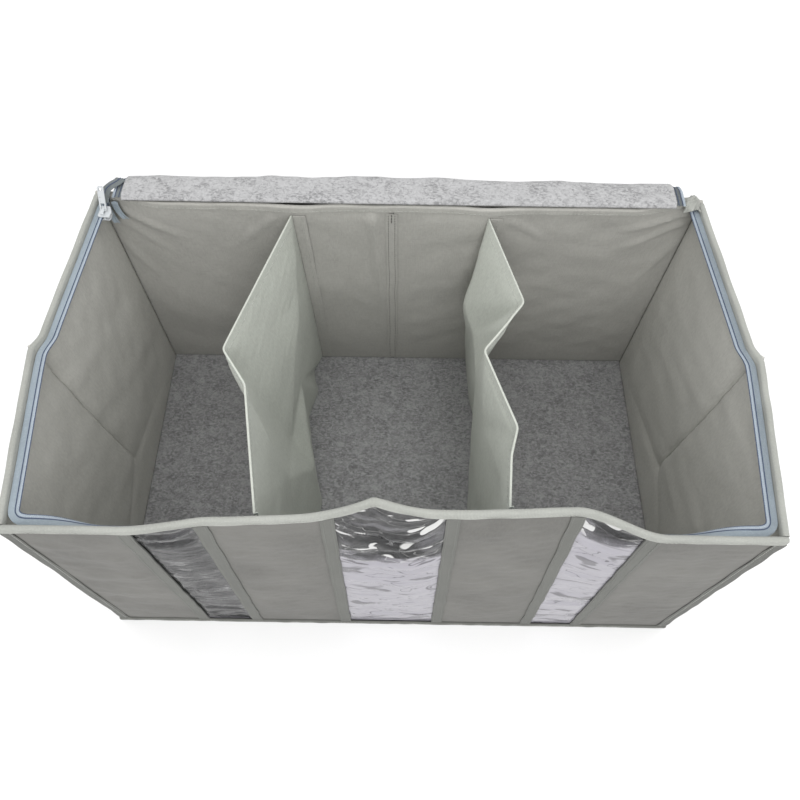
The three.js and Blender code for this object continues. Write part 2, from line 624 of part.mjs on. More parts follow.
function addDivider(name, x0, folds) {
  const foot = FLOOR_TOP + SEAM_GAP;
  const height = DIVIDER_TOP - foot;
  const hem = height - HEM_HEIGHT;
  const rows = facets(hem, DIVIDER_ROW);
  const levels = [];
  for (let i = 0; i < rows; i += 1) {
    levels.push((i * hem) / rows);
  }
  levels.push(hem - HEM_LEDGE, hem, height);
  const steps = levels.length - 1;
  const half = DIVIDER_THICK / 2;
  const cloth = extruded(dividerOutline().map(([across, along]) => [across, -along]), steps, steps);
  bend(cloth, (p) => {
    const along = -p.y;
    const level = levels[Math.round(p.z)];
    const z = foot + level;
    const tucked = smoothstep(z, ZIP_HANG_FOOT - HEM_HEIGHT, ZIP_HANG_FOOT - ZIP_CLEAR);
    const thicker = level >= hem ? (HEM_THICK - DIVIDER_THICK) / 2 : 0;
    const inFlange = Math.abs(p.x) > half + SEAM_GAP;
    const narrower = along > 0.5 ? tucked * (FLANGE_WIDTH - FLANGE_TUCKED) : 0;
    const across = inFlange ? p.x - narrower : p.x + Math.sign(p.x) * thicker;
    const x = x0 + across + leanAt(folds, along, level / height);
    const back = HALF_DEPTH - WALL_THICK - SEAM_GAP - backPull(x, z);
    const front = -HALF_DEPTH + FRONT_THICK + SEAM_GAP + frontSlack(x, z) + tucked * ZIP_ROOM;
    const sag = DIVIDER_SAG * Math.sin(Math.PI * along) * rise(z, 1);
    p.set(x, lerp(back, front, along), z - sag);
  });
  piece(box, name, cloth, dividerCloth);
}

// Lid

const LID_FELT_LOW = -(LID_BOARD_THICK / 2 + SEAM_GAP + LINING_THICK);
const LID_COVER_HIGH = LID_BOARD_THICK / 2 + SEAM_GAP + COVER_THICK;
const LID_HINGE_Y = HALF_DEPTH - BACK_PULL - WALL_THICK / 2;
const LID_HINGE_Z = HEIGHT + LID_RIM_GAP - LID_FELT_LOW;
const LID_COIL_X = HALF_WIDTH - LID_EDGE_INSET;
const LID_COIL_Y = -HALF_DEPTH + LID_EDGE_INSET;
const LID_CLOTH_X = LID_COIL_X - CHAIN_WIDTH;
const LID_CLOTH_Y = LID_COIL_Y + CHAIN_WIDTH;
const LID_SEAM_BITE = 5;

/**
 * One layer of the lid between two distances from the rear rim and two heights.
 * Its front corners are round where a radius is given, and its edges are set in by an inset.
 */
function lidSheet(from, to, low, high, inset = 0, radius = 0) {
  const x = LID_CLOTH_X - inset;
  const sheet = new THREE.Shape();
  sheet.moveTo(x, -from - inset);
  sheet.lineTo(-x, -from - inset);
  sheet.lineTo(-x, -to + inset + radius);
  if (radius > 0) {
    sheet.absarc(-x + radius, -to + inset + radius, radius, Math.PI, 1.5 * Math.PI);
    sheet.absarc(x - radius, -to + inset + radius, radius, 1.5 * Math.PI, 2 * Math.PI);
  } else {
    sheet.lineTo(x, -to + inset);
  }
  const options = { depth: high - low, bevelEnabled: false, curveSegments: CORNER_STEPS };
  return new THREE.ExtrudeGeometry(sheet, options).translate(0, 0, low);
}

function addLidRear(hinge) {
  const from = SEAM_GAP;
  const to = LID_ROLL - SEAM_GAP;
  const inner = LID_BOARD_THICK / 2 + SEAM_GAP;
  piece(hinge, 'lid_rear_cover', lidSheet(from, to, inner, LID_COVER_HIGH), shellCloth);
  piece(hinge, 'lid_rear_felt', lidSheet(from, to, LID_FELT_LOW, -inner), lidFelt);
  [-1, 1].forEach((side) => {
    const onEdge = ([reach, height]) => [side * (LID_CLOTH_X + reach), height];
    const outline = chainOutline(-LID_SEAM_BITE).map(onEdge);
    const name = `lid_rear_zip_${side < 0 ? 'left' : 'right'}`;
    piece(hinge, name, stripAlongY(outline, -to, -from, STRAIGHT_COLUMN), zipTape);
  });
}

function addLidPanel(fold) {
  const sheets = new THREE.Group();
  sheets.position.set(0, LID_ROLL, -LID_COVER_HIGH);
  fold.add(sheets);
  const from = LID_ROLL + SEAM_GAP;
  const to = LID_HINGE_Y - LID_CLOTH_Y;
  const inner = LID_BOARD_THICK / 2 + SEAM_GAP;
  const bite = LID_SEAM_BITE + SEAM_GAP;
  const radius = ZIP_CORNER_RADIUS;
  piece(sheets, 'lid_cover', lidSheet(from, to, inner, LID_COVER_HIGH, 0, radius), shellCloth);
  piece(sheets, 'lid_felt', lidSheet(from, to, LID_FELT_LOW, -inner, 0, radius), lidFelt);
  const boardHalf = LID_BOARD_THICK / 2;
  piece(sheets, 'lid_board', lidSheet(from, to, -boardHalf, boardHalf, bite, radius - bite), board);
  const path = threeSidedPath(LID_CLOTH_X, -to, -from, ZIP_CORNER_RADIUS);
  const chain = sweptOnPlan(chainOutline(-LID_SEAM_BITE), path, 0, -1, DEPTH, WIDTH);
  piece(sheets, 'lid_zip_chain', chain, zipTape);
}

function addLid() {
  const hinge = new THREE.Group();
  hinge.position.set(0, LID_HINGE_Y, LID_HINGE_Z);
  hinge.rotation.x = -degToRad(LID_SWING);
  box.add(hinge);
  addLidRear(hinge);
  const fold = new THREE.Group();
  fold.position.set(0, -LID_ROLL, LID_COVER_HIGH);
  fold.rotation.x = -degToRad(LID_BEND);
  hinge.add(fold);
  addLidPanel(fold);
}

// Zip slider and pull, on the straight rear half of the left rim

const SIDE_SLOPE = SIDE_BULGE * rise(ZIP_Z, SIDE_HOLLOW) / (HALF_DEPTH - SIDE_FOLD_Y);
const LANE = COIL_WIDTH / 2 + SLIDER_CLEAR;
const CHANNEL = COIL_HEIGHT / 2 + SLIDER_CLEAR;
const SLIDER_TOP = CHANNEL + SLIDER_PLATE;
const CROWN_ROOM = PULL_THICK + 2 * SLIDER_CLEAR;
const PIVOT_Z = SLIDER_TOP + CROWN_ROOM / 2;
const SLIDER_LEFT = -LANE - SLIDER_WALL;
const SLIDER_NOSE = 3 * LANE + SLIDER_POST + SLIDER_WALL;
const SLIDER_TAIL = SLIDER_NOSE - SLIDER_POST;

/** Two plates round a channel with a lane for each coil, joined by the post that parts the lanes. */
function sliderBody() {
  const end = SLIDER_LENGTH / 2;
  const nip = SLIDER_WALL;
  const plan = [
    [SLIDER_LEFT + nip, -end], [SLIDER_NOSE - nip, -end], [SLIDER_NOSE, -end + nip], [SLIDER_NOSE, 0],
    [SLIDER_TAIL, end - nip], [SLIDER_TAIL - nip, end], [SLIDER_LEFT + nip, end],
    [SLIDER_LEFT, end - nip], [SLIDER_LEFT, -end + nip],
  ];
  const level = (outline, half) => toSolid(extruded(outline, 2 * half).translate(0, 0, -half));
  const body = level(plan, SLIDER_TOP);
  const past = end + 1;
  const channel = [
    [-LANE, -past], [SLIDER_NOSE - SLIDER_WALL, -past], [SLIDER_NOSE - SLIDER_WALL, 0],
    [SLIDER_TAIL - SLIDER_WALL, end - nip], [SLIDER_TAIL - SLIDER_WALL, past], [-LANE, past],
  ];
  const slot = [
    [SLIDER_LEFT - 1, -past], [SLIDER_NOSE + 1, -past], [SLIDER_NOSE + 1, past], [SLIDER_LEFT - 1, past],
  ];
  const post = [
    [LANE, -end + nip], [LANE + SLIDER_POST / 2, -end], [LANE + SLIDER_POST, -end + nip],
    [LANE + SLIDER_POST, -nip], [LANE, 0],
  ];
  return body
    .subtract(level(channel, CHANNEL))
    .subtract(level(slot, ZIP_TAPE_THICK / 2 + SEAM_GAP))
    .add(level(post, SLIDER_TOP));
}

/** The bridge on the upper plate that holds the pull's bar. */
function sliderCrown() {
  const half = CROWN_LENGTH / 2;
  const foot = SLIDER_TOP - SLIDER_PLATE / 2;
  const roof = SLIDER_TOP + CROWN_ROOM;
  const leg = half - CROWN_THICK;
  const outline = [
    [-half, foot], [-leg, foot], [-leg, roof], [leg, roof], [leg, foot], [half, foot],
    [half, roof], [leg, roof + CROWN_THICK], [-leg, roof + CROWN_THICK], [-half, roof],
  ];
  const middle = (SLIDER_LEFT + SLIDER_TAIL) / 2;
  return toSolid(stripAlongX(outline, middle - CROWN_WIDTH / 2, middle + CROWN_WIDTH / 2, CROWN_WIDTH));
}

const HOLE_SIDES = 12;

/** A flat tab with a wide eye round the crown and a small hole near its free end. It lies towards -Y. */
function pullTab() {
  const half = PULL_WIDTH / 2;
  const bar = PULL_THICK / 2;
  const nip = half / 2;
  const tab = new THREE.Shape([
    [-half, bar], [half, bar], [half, -PULL_LENGTH + nip], [half - nip, -PULL_LENGTH],
    [-half + nip, -PULL_LENGTH], [-half, -PULL_LENGTH + nip],
  ].map(([x, y]) => new THREE.Vector2(x, y)));
  const eye = CROWN_WIDTH / 2 + SLIDER_CLEAR;
  const eyeEnd = -CROWN_LENGTH / 2 - 2 * SLIDER_CLEAR - CROWN_THICK;
  tab.holes.push(new THREE.Path([
    [-eye, -bar], [-eye, eyeEnd], [eye, eyeEnd], [eye, -bar],
  ].map(([x, y]) => new THREE.Vector2(x, y))));
  const rim = [];
  for (let i = 0; i < HOLE_SIDES; i += 1) {
    const angle = (2 * Math.PI * i) / HOLE_SIDES;
    const [x, y] = [PULL_HOLE_RADIUS * Math.cos(angle), PULL_HOLE_RADIUS * Math.sin(angle)];
    rim.push(new THREE.Vector2(x, y - PULL_LENGTH + half));
  }
  tab.holes.push(new THREE.Path(rim));
  return new THREE.ExtrudeGeometry(tab, { depth: PULL_THICK, bevelEnabled: false }).translate(0, 0, -bar);
}

function addSlider() {
  const rail = new THREE.Group();
  const coil = CHAIN_SIDE_X - CHAIN_WIDTH + COIL_WIDTH / 2;
  rail.position.set(-coil - sideBulge(SLIDER_REST_Y, ZIP_Z), SLIDER_REST_Y, ZIP_Z);
  rail.rotation.z = -Math.atan(SIDE_SLOPE);
  box.add(rail);
  piece(rail, 'zip_slider', toGeometry(sliderBody().add(sliderCrown())), palePaint);
  const pivot = new THREE.Group();
  pivot.position.set((SLIDER_LEFT + SLIDER_TAIL) / 2, 0, PIVOT_Z);
  pivot.rotation.x = -degToRad(PULL_REST);
  rail.add(pivot);
  piece(pivot, 'zip_pull', pullTab(), palePaint);
}

// Handles

function addHandle(side) {
  const name = side < 0 ? 'left' : 'right';
  const near = HALF_WIDTH + SEAM_GAP;
  const low = HANDLE_TOP - HANDLE_STRAP_WIDTH;
  const faces = (inner, outer) => [side * inner, side * outer].sort((a, b) => a - b);
  const spanEnd = HANDLE_SPAN / 2;
  [-1, 1].forEach((end) => {
    const reach = [end * (spanEnd + SEAM_GAP), end * (spanEnd + HANDLE_END)].sort((a, b) => a - b);
    const patch = slab(faces(near, near + STRAP_THICK), reach, [low, HANDLE_TOP], [1, 3, 1]);
    piece(box, `handle_${name}_end_${end < 0 ? 'front' : 'back'}`, bend(patch, onSide(side)), tapeCloth);
  });
  const strap = slab(faces(near, near + STRAP_THICK), [-spanEnd + SEAM_GAP, spanEnd - SEAM_GAP],
    [low, HANDLE_TOP], [1, facets(HANDLE_SPAN, FRONT_COLUMN), 2]);
  bend(strap, (p) => {
    const bow = HANDLE_BOW * Math.cos((Math.PI * p.y) / HANDLE_SPAN) ** 2;
    p.x += side * (sideBulge(p.y, HANDLE_TOP) + bow);
  });
  piece(box, `handle_${name}`, strap, tapeCloth);
}

addBase();
addFrontStrips();
addWindows();
addWindowTapes();
addSideWalls();
addBackWall();
addCornerTapes();
addBottomTapes();
addRimTapes();
addBoxChain();
addDivider('divider_left', DIVIDER_LEFT_X, FOLDS_LEFT);
addDivider('divider_right', DIVIDER_RIGHT_X, FOLDS_RIGHT);
addLid();
addSlider();
addHandle(-1);
addHandle(1);

export default box;
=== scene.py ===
"""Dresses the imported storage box: cloth walls, bindings, zips, clear windows, hanging dividers and lid.

Metres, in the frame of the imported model: +X runs to the right of the front, +Y to the back, +Z up.
"""

import logging
import math
from dataclasses import dataclass
from enum import Enum
from functools import cache

import bmesh
import bpy
import numpy as np
from mathutils import Matrix, Vector
from mathutils.geometry import delaunay_2d_cdt


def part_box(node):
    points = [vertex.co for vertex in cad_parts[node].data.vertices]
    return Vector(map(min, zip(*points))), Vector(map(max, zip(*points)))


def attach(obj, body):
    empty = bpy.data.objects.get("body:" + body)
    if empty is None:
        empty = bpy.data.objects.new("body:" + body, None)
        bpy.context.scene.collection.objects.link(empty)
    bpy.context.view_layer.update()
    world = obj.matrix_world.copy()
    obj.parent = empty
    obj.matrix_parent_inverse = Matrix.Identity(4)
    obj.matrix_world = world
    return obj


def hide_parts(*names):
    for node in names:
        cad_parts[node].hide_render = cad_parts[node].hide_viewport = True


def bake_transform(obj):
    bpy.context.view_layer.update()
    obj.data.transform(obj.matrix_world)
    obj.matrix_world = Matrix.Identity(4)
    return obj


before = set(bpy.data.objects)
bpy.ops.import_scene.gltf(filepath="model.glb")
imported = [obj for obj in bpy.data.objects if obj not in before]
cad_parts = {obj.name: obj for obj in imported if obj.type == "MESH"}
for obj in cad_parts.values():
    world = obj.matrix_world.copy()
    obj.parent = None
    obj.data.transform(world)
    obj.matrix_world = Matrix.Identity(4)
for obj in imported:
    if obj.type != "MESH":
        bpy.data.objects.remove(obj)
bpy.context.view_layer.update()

MM = 0.001
CLOTH_MAP = "cloth"
EDGE = 0.8 * MM
BANDS_PER_SCALE = 3.1831
THREAD = 0.42 * MM
Array = np.ndarray
Colour = tuple[float, float, float]
Place = tuple[float, float, float]
Span = tuple[float, float]
Path = tuple[Array, Array, Array, Array]
Piece = bpy.types.Object
Material = bpy.types.Material
Socket = bpy.types.NodeSocket
log = logging.getLogger("storage_box")


class Slot(Enum):
    """The material slots that the finishes fill."""

    SHELL = "shell_cloth"
    LINING = "lining_cloth"
    TAPE = "binding_tape"
    DIVIDER = "divider_cloth"
    VINYL = "clear_vinyl"
    FLOOR_FELT = "floor_felt"
    LID_FELT = "lid_felt"
    BOARD = "board"
    ZIP = "zip_tape"
    PAINT = "pale_paint"


class Named(Enum):
    """Members whose names are words in the pieces' names."""

    @property
    def word(self) -> str:
        """The member's name in a piece's name."""
        return self.name.lower()


class Side(Named):
    """Left or right of the box, with the sign of X there."""

    LEFT = -1
    RIGHT = 1

    @property
    def out(self) -> Place:
        """Direction out of the wall."""
        return (float(self.value), 0.0, 0.0)


class End(Named):
    """Front or back of the box, with the sign of Y there."""

    FRONT = -1
    BACK = 1

    @property
    def out(self) -> Place:
        """Direction out of the wall."""
        return (0.0, float(self.value), 0.0)


# Numbers


def smooth(value: Array, low: float, high: float) -> Array:
    """Steps smoothly from 0 at low to 1 at high."""
    share = np.clip((np.asarray(value, float) - low) / (high - low), 0.0, 1.0)
    return share * share * (3.0 - 2.0 * share)


def hump(distance: Array, spread: float) -> Array:
    """A round hump of height 1 that fades over a spread."""
    return np.exp(-((distance / spread) ** 2))


def stations(start: float, end: float, step: float, edge: float = 0.0) -> Array:
    """Even stations from one value to another, with one more just inside each end for a soft edge.

    Args:
        start: First value.
        end: Last value.
        step: About how far apart the stations are.
        edge: How far inside each end the extra station is, or 0 for none.

    Returns:
        The stations in order.
    """
    count = max(1, round(abs(end - start) / step))
    even = np.linspace(start, end, count + 1)
    if edge <= 0.0:
        return even
    inside = math.copysign(edge, end - start)
    return np.concatenate([even[:1], [start + inside], even[1:-1], [end - inside], even[-1:]])


def unit(vectors: Array) -> Array:
    """Vectors of length 1 along the last axis."""
    length = np.linalg.norm(vectors, axis=-1, keepdims=True)
    return vectors / np.maximum(length, 1e-12)


def stack(x: Array, y: Array, z: Array) -> Array:
    """Points from three arrays that broadcast together."""
    return np.stack(np.broadcast_arrays(x, y, z), axis=-1).astype(float)


def around(count: int) -> Array:
    """Angles in even steps round a full turn."""
    return 2.0 * math.pi * np.arange(count) / count


class Waves:
    """Smooth random waves over a cloth, the same in each run."""

    def __init__(self, seed: int, wavelength: float, waves: int = 9) -> None:
        """Draws the waves.

        Args:
            seed: Start of the random draw.
            wavelength: About how long the waves are.
            waves: How many are added up.
        """
        draw = np.random.default_rng(seed)
        angle = draw.uniform(0.0, 2.0 * math.pi, waves)
        rate = 2.0 * math.pi / (wavelength * draw.uniform(0.6, 1.7, waves))
        self.rates = np.stack([np.cos(angle) * rate, np.sin(angle) * rate], axis=1)
        self.phases = draw.uniform(0.0, 2.0 * math.pi, waves)

    def at(self, u: Array, v: Array | float = 0.0) -> Array:
        """Height of the waves at points of the cloth, mostly within -1 and 1."""
        total = sum(np.sin(a * u + b * v + p) for (a, b), p in zip(self.rates, self.phases))
        return total / math.sqrt(2.0 * len(self.phases))


@dataclass(frozen=True)
class Crease:
    """A fold line on a cloth, highest at its start and running out at its end."""

    start: Span
    end: Span
    height: float
    width: float
    sharp: bool = False
    holds: float = 0.3

    @classmethod
    def drag(cls, x0: float, z0: float, x1: float, z1: float, height: float, width: float,
             holds: float = 0.3) -> "Crease":
        """A soft crease from one place of a cloth to another, all in millimetres."""
        return cls((x0 * MM, z0 * MM), (x1 * MM, z1 * MM), height * MM, width * MM, holds=holds)

    def lift(self, u: Array, v: Array) -> Array:
        """How far the crease lifts each point of the cloth.

        Args:
            u: Places across the cloth.
            v: Places up the cloth.

        Returns:
            The lift of each point.
        """
        run = np.subtract(self.end, self.start)
        along = ((u - self.start[0]) * run[0] + (v - self.start[1]) * run[1]) / float(run @ run)
        held = np.clip(along, 0.0, 1.0)
        away = np.hypot(u - self.start[0] - held * run[0], v - self.start[1] - held * run[1])
        shape = np.exp(-away / self.width) if self.sharp else hump(away, self.width)
        return self.height * shape * (1.0 - smooth(along, self.holds, 1.0))


@dataclass(frozen=True)
class Garland:
    """A fold that hangs in a curve between both edges of a cloth, lowest at a share of its width."""

    hangs_from: float
    sag: float
    height: float
    width: float
    lowest: float = 0.5
    tilt: float = 0.0

    def lift(self, share: Array, v: Array) -> Array:
        """How far the fold lifts each point, at shares of the width and heights up the cloth.

        Args:
            share: Shares of the cloth's width.
            v: Heights up the cloth.

        Returns:
            The lift of each point.
        """
        off = (share - self.lowest) / np.where(share < self.lowest, self.lowest, 1.0 - self.lowest)
        line = self.hangs_from - self.sag * (1.0 - off**2) + self.tilt * (share - 0.5)
        return self.height * hump(v - line, self.width) * (0.35 + 0.65 * (1.0 - off**2))


# Meshes


@dataclass
class Shell:
    """A closed surface that waits to become a mesh: points, faces and a place on the cloth for each point."""

    points: Array
    faces: list[tuple[int, ...]]
    cloth: Array


def joined(shells: list[Shell]) -> Shell:
    """Several shells as one.

    Args:
        shells: The shells.

    Returns:
        The whole.
    """
    faces: list[tuple[int, ...]] = []
    start = 0
    for shell in shells:
        faces += [tuple(corner + start for corner in face) for face in shell.faces]
        start += len(shell.points)
    points = np.concatenate([shell.points for shell in shells])
    return Shell(points, faces, np.concatenate([shell.cloth for shell in shells]))


def build(name: str, *shells: Shell, crisp: float = 50.0) -> Piece:
    """Makes an object of closed shells.

    Args:
        name: Name of the piece.
        *shells: Its closed surfaces.
        crisp: Degrees between two faces from which their edge stays sharp.

    Returns:
        The object, in the scene.
    """
    shell = joined(list(shells))
    mesh = bpy.data.meshes.new(name)
    mesh.from_pydata(shell.points.tolist(), [], shell.faces)
    work = bmesh.new()
    work.from_mesh(mesh)
    bmesh.ops.recalc_face_normals(work, faces=work.faces)
    work.to_mesh(mesh)
    work.free()
    layer = mesh.uv_layers.new(name=CLOTH_MAP)
    corners = np.zeros(len(mesh.loops), np.int32)
    mesh.loops.foreach_get("vertex_index", corners)
    layer.data.foreach_set("uv", shell.cloth[corners].astype(np.float32).ravel())
    mesh.shade_smooth()
    mesh.set_sharp_from_angle(angle=math.radians(crisp))
    piece = bpy.data.objects.new(name, mesh)
    bpy.context.scene.collection.objects.link(piece)
    return piece


def travelled(points: Array, axis: int) -> Array:
    """How far each point of a grid is along one axis of it."""
    steps = np.linalg.norm(np.diff(points, axis=axis), axis=-1)
    return np.insert(np.cumsum(steps, axis=axis), 0, 0.0, axis=axis)


def facing(points: Array) -> Array:
    """Unit normals of a grid of points, to the side from which its columns run right when its rows run up."""
    return unit(np.cross(np.gradient(points, axis=1), np.gradient(points, axis=0)))


def sheet(points: Array, thick: float | Array, edge: float = 0.5) -> Shell:
    """A cloth of a thickness about a grid of points.

    Args:
        points: Grid of points along the middle of the cloth, as rows, columns and coordinates.
        thick: Thickness, the same all over or one number for each point.
        edge: Share of the thickness that is left at the cut edges, which rounds them.

    Returns:
        The closed surface.
    """
    rows, columns = points.shape[:2]
    half = np.broadcast_to(np.asarray(thick, float) / 2.0, (rows, columns)).copy()
    half[[0, -1], :] *= edge
    half[:, [0, -1]] *= edge
    shift = facing(points) * half[..., None]
    count = rows * columns
    index = np.arange(count).reshape(rows, columns)
    quads = np.stack([index[:-1, :-1], index[:-1, 1:], index[1:, 1:], index[1:, :-1]], axis=-1).reshape(-1, 4)
    border = np.concatenate([index[0, :-1], index[:-1, -1], index[-1, :0:-1], index[:0:-1, 0]])
    after = np.roll(border, -1)
    rim = np.stack([border, border + count, after + count, after], axis=-1)
    faces = np.concatenate([quads, quads[:, ::-1] + count, rim])
    cloth = np.stack([travelled(points, 1), travelled(points, 0)], axis=-1).reshape(-1, 2)
    surface = np.concatenate([(points + shift).reshape(-1, 3), (points - shift).reshape(-1, 3)])
    return Shell(surface, [tuple(face) for face in faces.tolist()], np.concatenate([cloth, cloth]))


def tube(rings: Array) -> Shell:
    """A closed surface through rings of points, with a flat cap on each end.

    Args:
        rings: Rings of points, as rings, points round a ring and coordinates.

    Returns:
        The closed surface.
    """
    count, sides = rings.shape[:2]
    index = np.arange(count * sides).reshape(count, sides)
    beside = np.roll(index, -1, axis=1)
    quads = np.stack([index[:-1], beside[:-1], beside[1:], index[1:]], axis=-1).reshape(-1, 4)
    faces = [tuple(face) for face in quads.tolist()]
    faces += [tuple(range(sides))[::-1], tuple(range((count - 1) * sides, count * sides))]
    round_it = travelled(np.concatenate([rings, rings[:, :1]], axis=1), 1)[:, :-1]
    cloth = np.stack([round_it, travelled(rings, 0)], axis=-1).reshape(-1, 2)
    return Shell(rings.reshape(-1, 3), faces, cloth)


def rounded(outline: list[Span], radius: float, steps: int = 2) -> Array:
    """An outline with its corners rounded off.

    Args:
        outline: Corners of a closed outline.
        radius: About how far from a corner the rounding starts.
        steps: Pieces of each rounding.

    Returns:
        Points of the rounded outline.
    """
    corners = np.array(outline, float)
    points = []
    for before, corner, after in zip(np.roll(corners, 1, axis=0), corners, np.roll(corners, -1, axis=0)):
        back, on = before - corner, after - corner
        reach = [min(radius, 0.45 * np.linalg.norm(side)) for side in (back, on)]
        start = corner + back / np.linalg.norm(back) * reach[0]
        end = corner + on / np.linalg.norm(on) * reach[1]
        for share in np.linspace(0.0, 1.0, steps + 1):
            points.append((1 - share) ** 2 * start + 2 * share * (1 - share) * corner + share**2 * end)
    return np.array(points)


def along_line(line: Array, distances: Array) -> Array:
    """Points at distances along a line of points."""
    travel = travelled(line[None], 1)[0]
    return np.stack([np.interp(distances, travel, line[:, axis]) for axis in range(3)], axis=-1)


@dataclass(frozen=True)
class Bars:
    """Short round bars with sunken ends, such as stitches or the teeth of a coil."""

    radius: float
    arch: float
    sides: int = 5
    rings: tuple[Place, ...] = (
        (0.0, -1.0, 0.6), (0.14, 0.35, 1.0), (0.5, 1.0, 1.0), (0.86, 0.35, 1.0), (1.0, -1.0, 0.6),
    )

    def shell(self, starts: Array, ends: Array, outward: Array) -> Shell:
        """Bars between pairs of points.

        Args:
            starts: First end of each bar.
            ends: Last end of each bar.
            outward: Direction in which each bar arches.

        Returns:
            One closed surface for each bar, as one shell.
        """
        beside = unit(np.cross(ends - starts, outward))[:, None]
        turn = around(self.sides)[None, :, None]
        ring = beside * np.cos(turn) + outward[:, None] * np.sin(turn)
        rings = []
        for share, height, width in self.rings:
            centre = starts + (ends - starts) * share + outward * self.arch * height
            rings.append(centre[:, None] + ring * self.radius * width)
        points = np.stack(rings, axis=1)
        count = len(self.rings) * self.sides
        one = tube(points[0]).faces
        faces = [tuple(corner + bar * count for corner in face) for bar in range(len(starts)) for face in one]
        flat = points.reshape(-1, 3)
        return Shell(flat, faces, flat[:, :2].copy())


@dataclass(frozen=True)
class Stitching:
    """A row of stitches along a seam."""

    pitch: float = 3.8 * MM
    length: float = 2.9 * MM
    thread: float = 0.28 * MM
    rises: float = 0.16 * MM

    def shell(self, line: Array, outward: Array) -> Shell:
        """Stitches along a line that lies on a surface.

        Args:
            line: Points of the seam.
            outward: Direction away from the surface, one for all or one for each point.

        Returns:
            The stitches as one shell.
        """
        travel = travelled(line[None], 1)[0]
        firsts = np.arange(self.pitch / 2, travel[-1] - self.length, self.pitch)
        ways = np.broadcast_to(np.asarray(outward, float), line.shape)
        out = unit(np.stack([np.interp(firsts, travel, ways[:, axis]) for axis in range(3)], axis=-1))
        bars = Bars(self.thread, self.rises)
        return bars.shell(along_line(line, firsts), along_line(line, firsts + self.length), out)


LONG_STITCHES = Stitching(4.2 * MM, 3.2 * MM)
ZIP_TEETH = Bars(0.52 * MM, 0.35 * MM)


# Finishes


class Nodes:
    """A tree of shader nodes, wired by short calls."""

    def __init__(self, tree: bpy.types.NodeTree) -> None:
        """Keeps the tree."""
        self.tree = tree

    def node(self, kind: str, inputs: dict | None = None, **settings: object) -> bpy.types.Node:
        """Adds a node.

        Args:
            kind: Type of the node, without the first words that all share.
            inputs: Sockets or constants by input name or number.
            **settings: Properties of the node.

        Returns:
            The node.
        """
        made = self.tree.nodes.new("ShaderNode" + kind)
        for name, value in settings.items():
            setattr(made, name, value)
        for name, value in (inputs or {}).items():
            self.feed(made.inputs[name], value)
        return made

    def feed(self, socket: Socket, value: object) -> None:
        """Links a socket, or sets a constant on it.

        Args:
            socket: Input to feed.
            value: Socket, number, vector or colour.
        """
        if isinstance(value, Socket):
            self.tree.links.new(value, socket)
        elif socket.type == "RGBA" and len(value) == 3:
            socket.default_value = (*value, 1.0)
        else:
            socket.default_value = value

    def sums(self, operation: str, a: object, b: object = 0.0, clamp: bool = False) -> Socket:
        """One sum of two numbers."""
        return self.node("Math", {0: a, 1: b}, operation=operation, use_clamp=clamp).outputs[0]

    def span(self, value: Socket, low: float, high: float, to_low: float = 0.0,
             to_high: float = 1.0) -> Socket:
        """A number carried from one span to another, held at its ends."""
        inputs = {"Value": value, "From Min": low, "From Max": high, "To Min": to_low, "To Max": to_high}
        return self.node("MapRange", inputs).outputs["Result"]


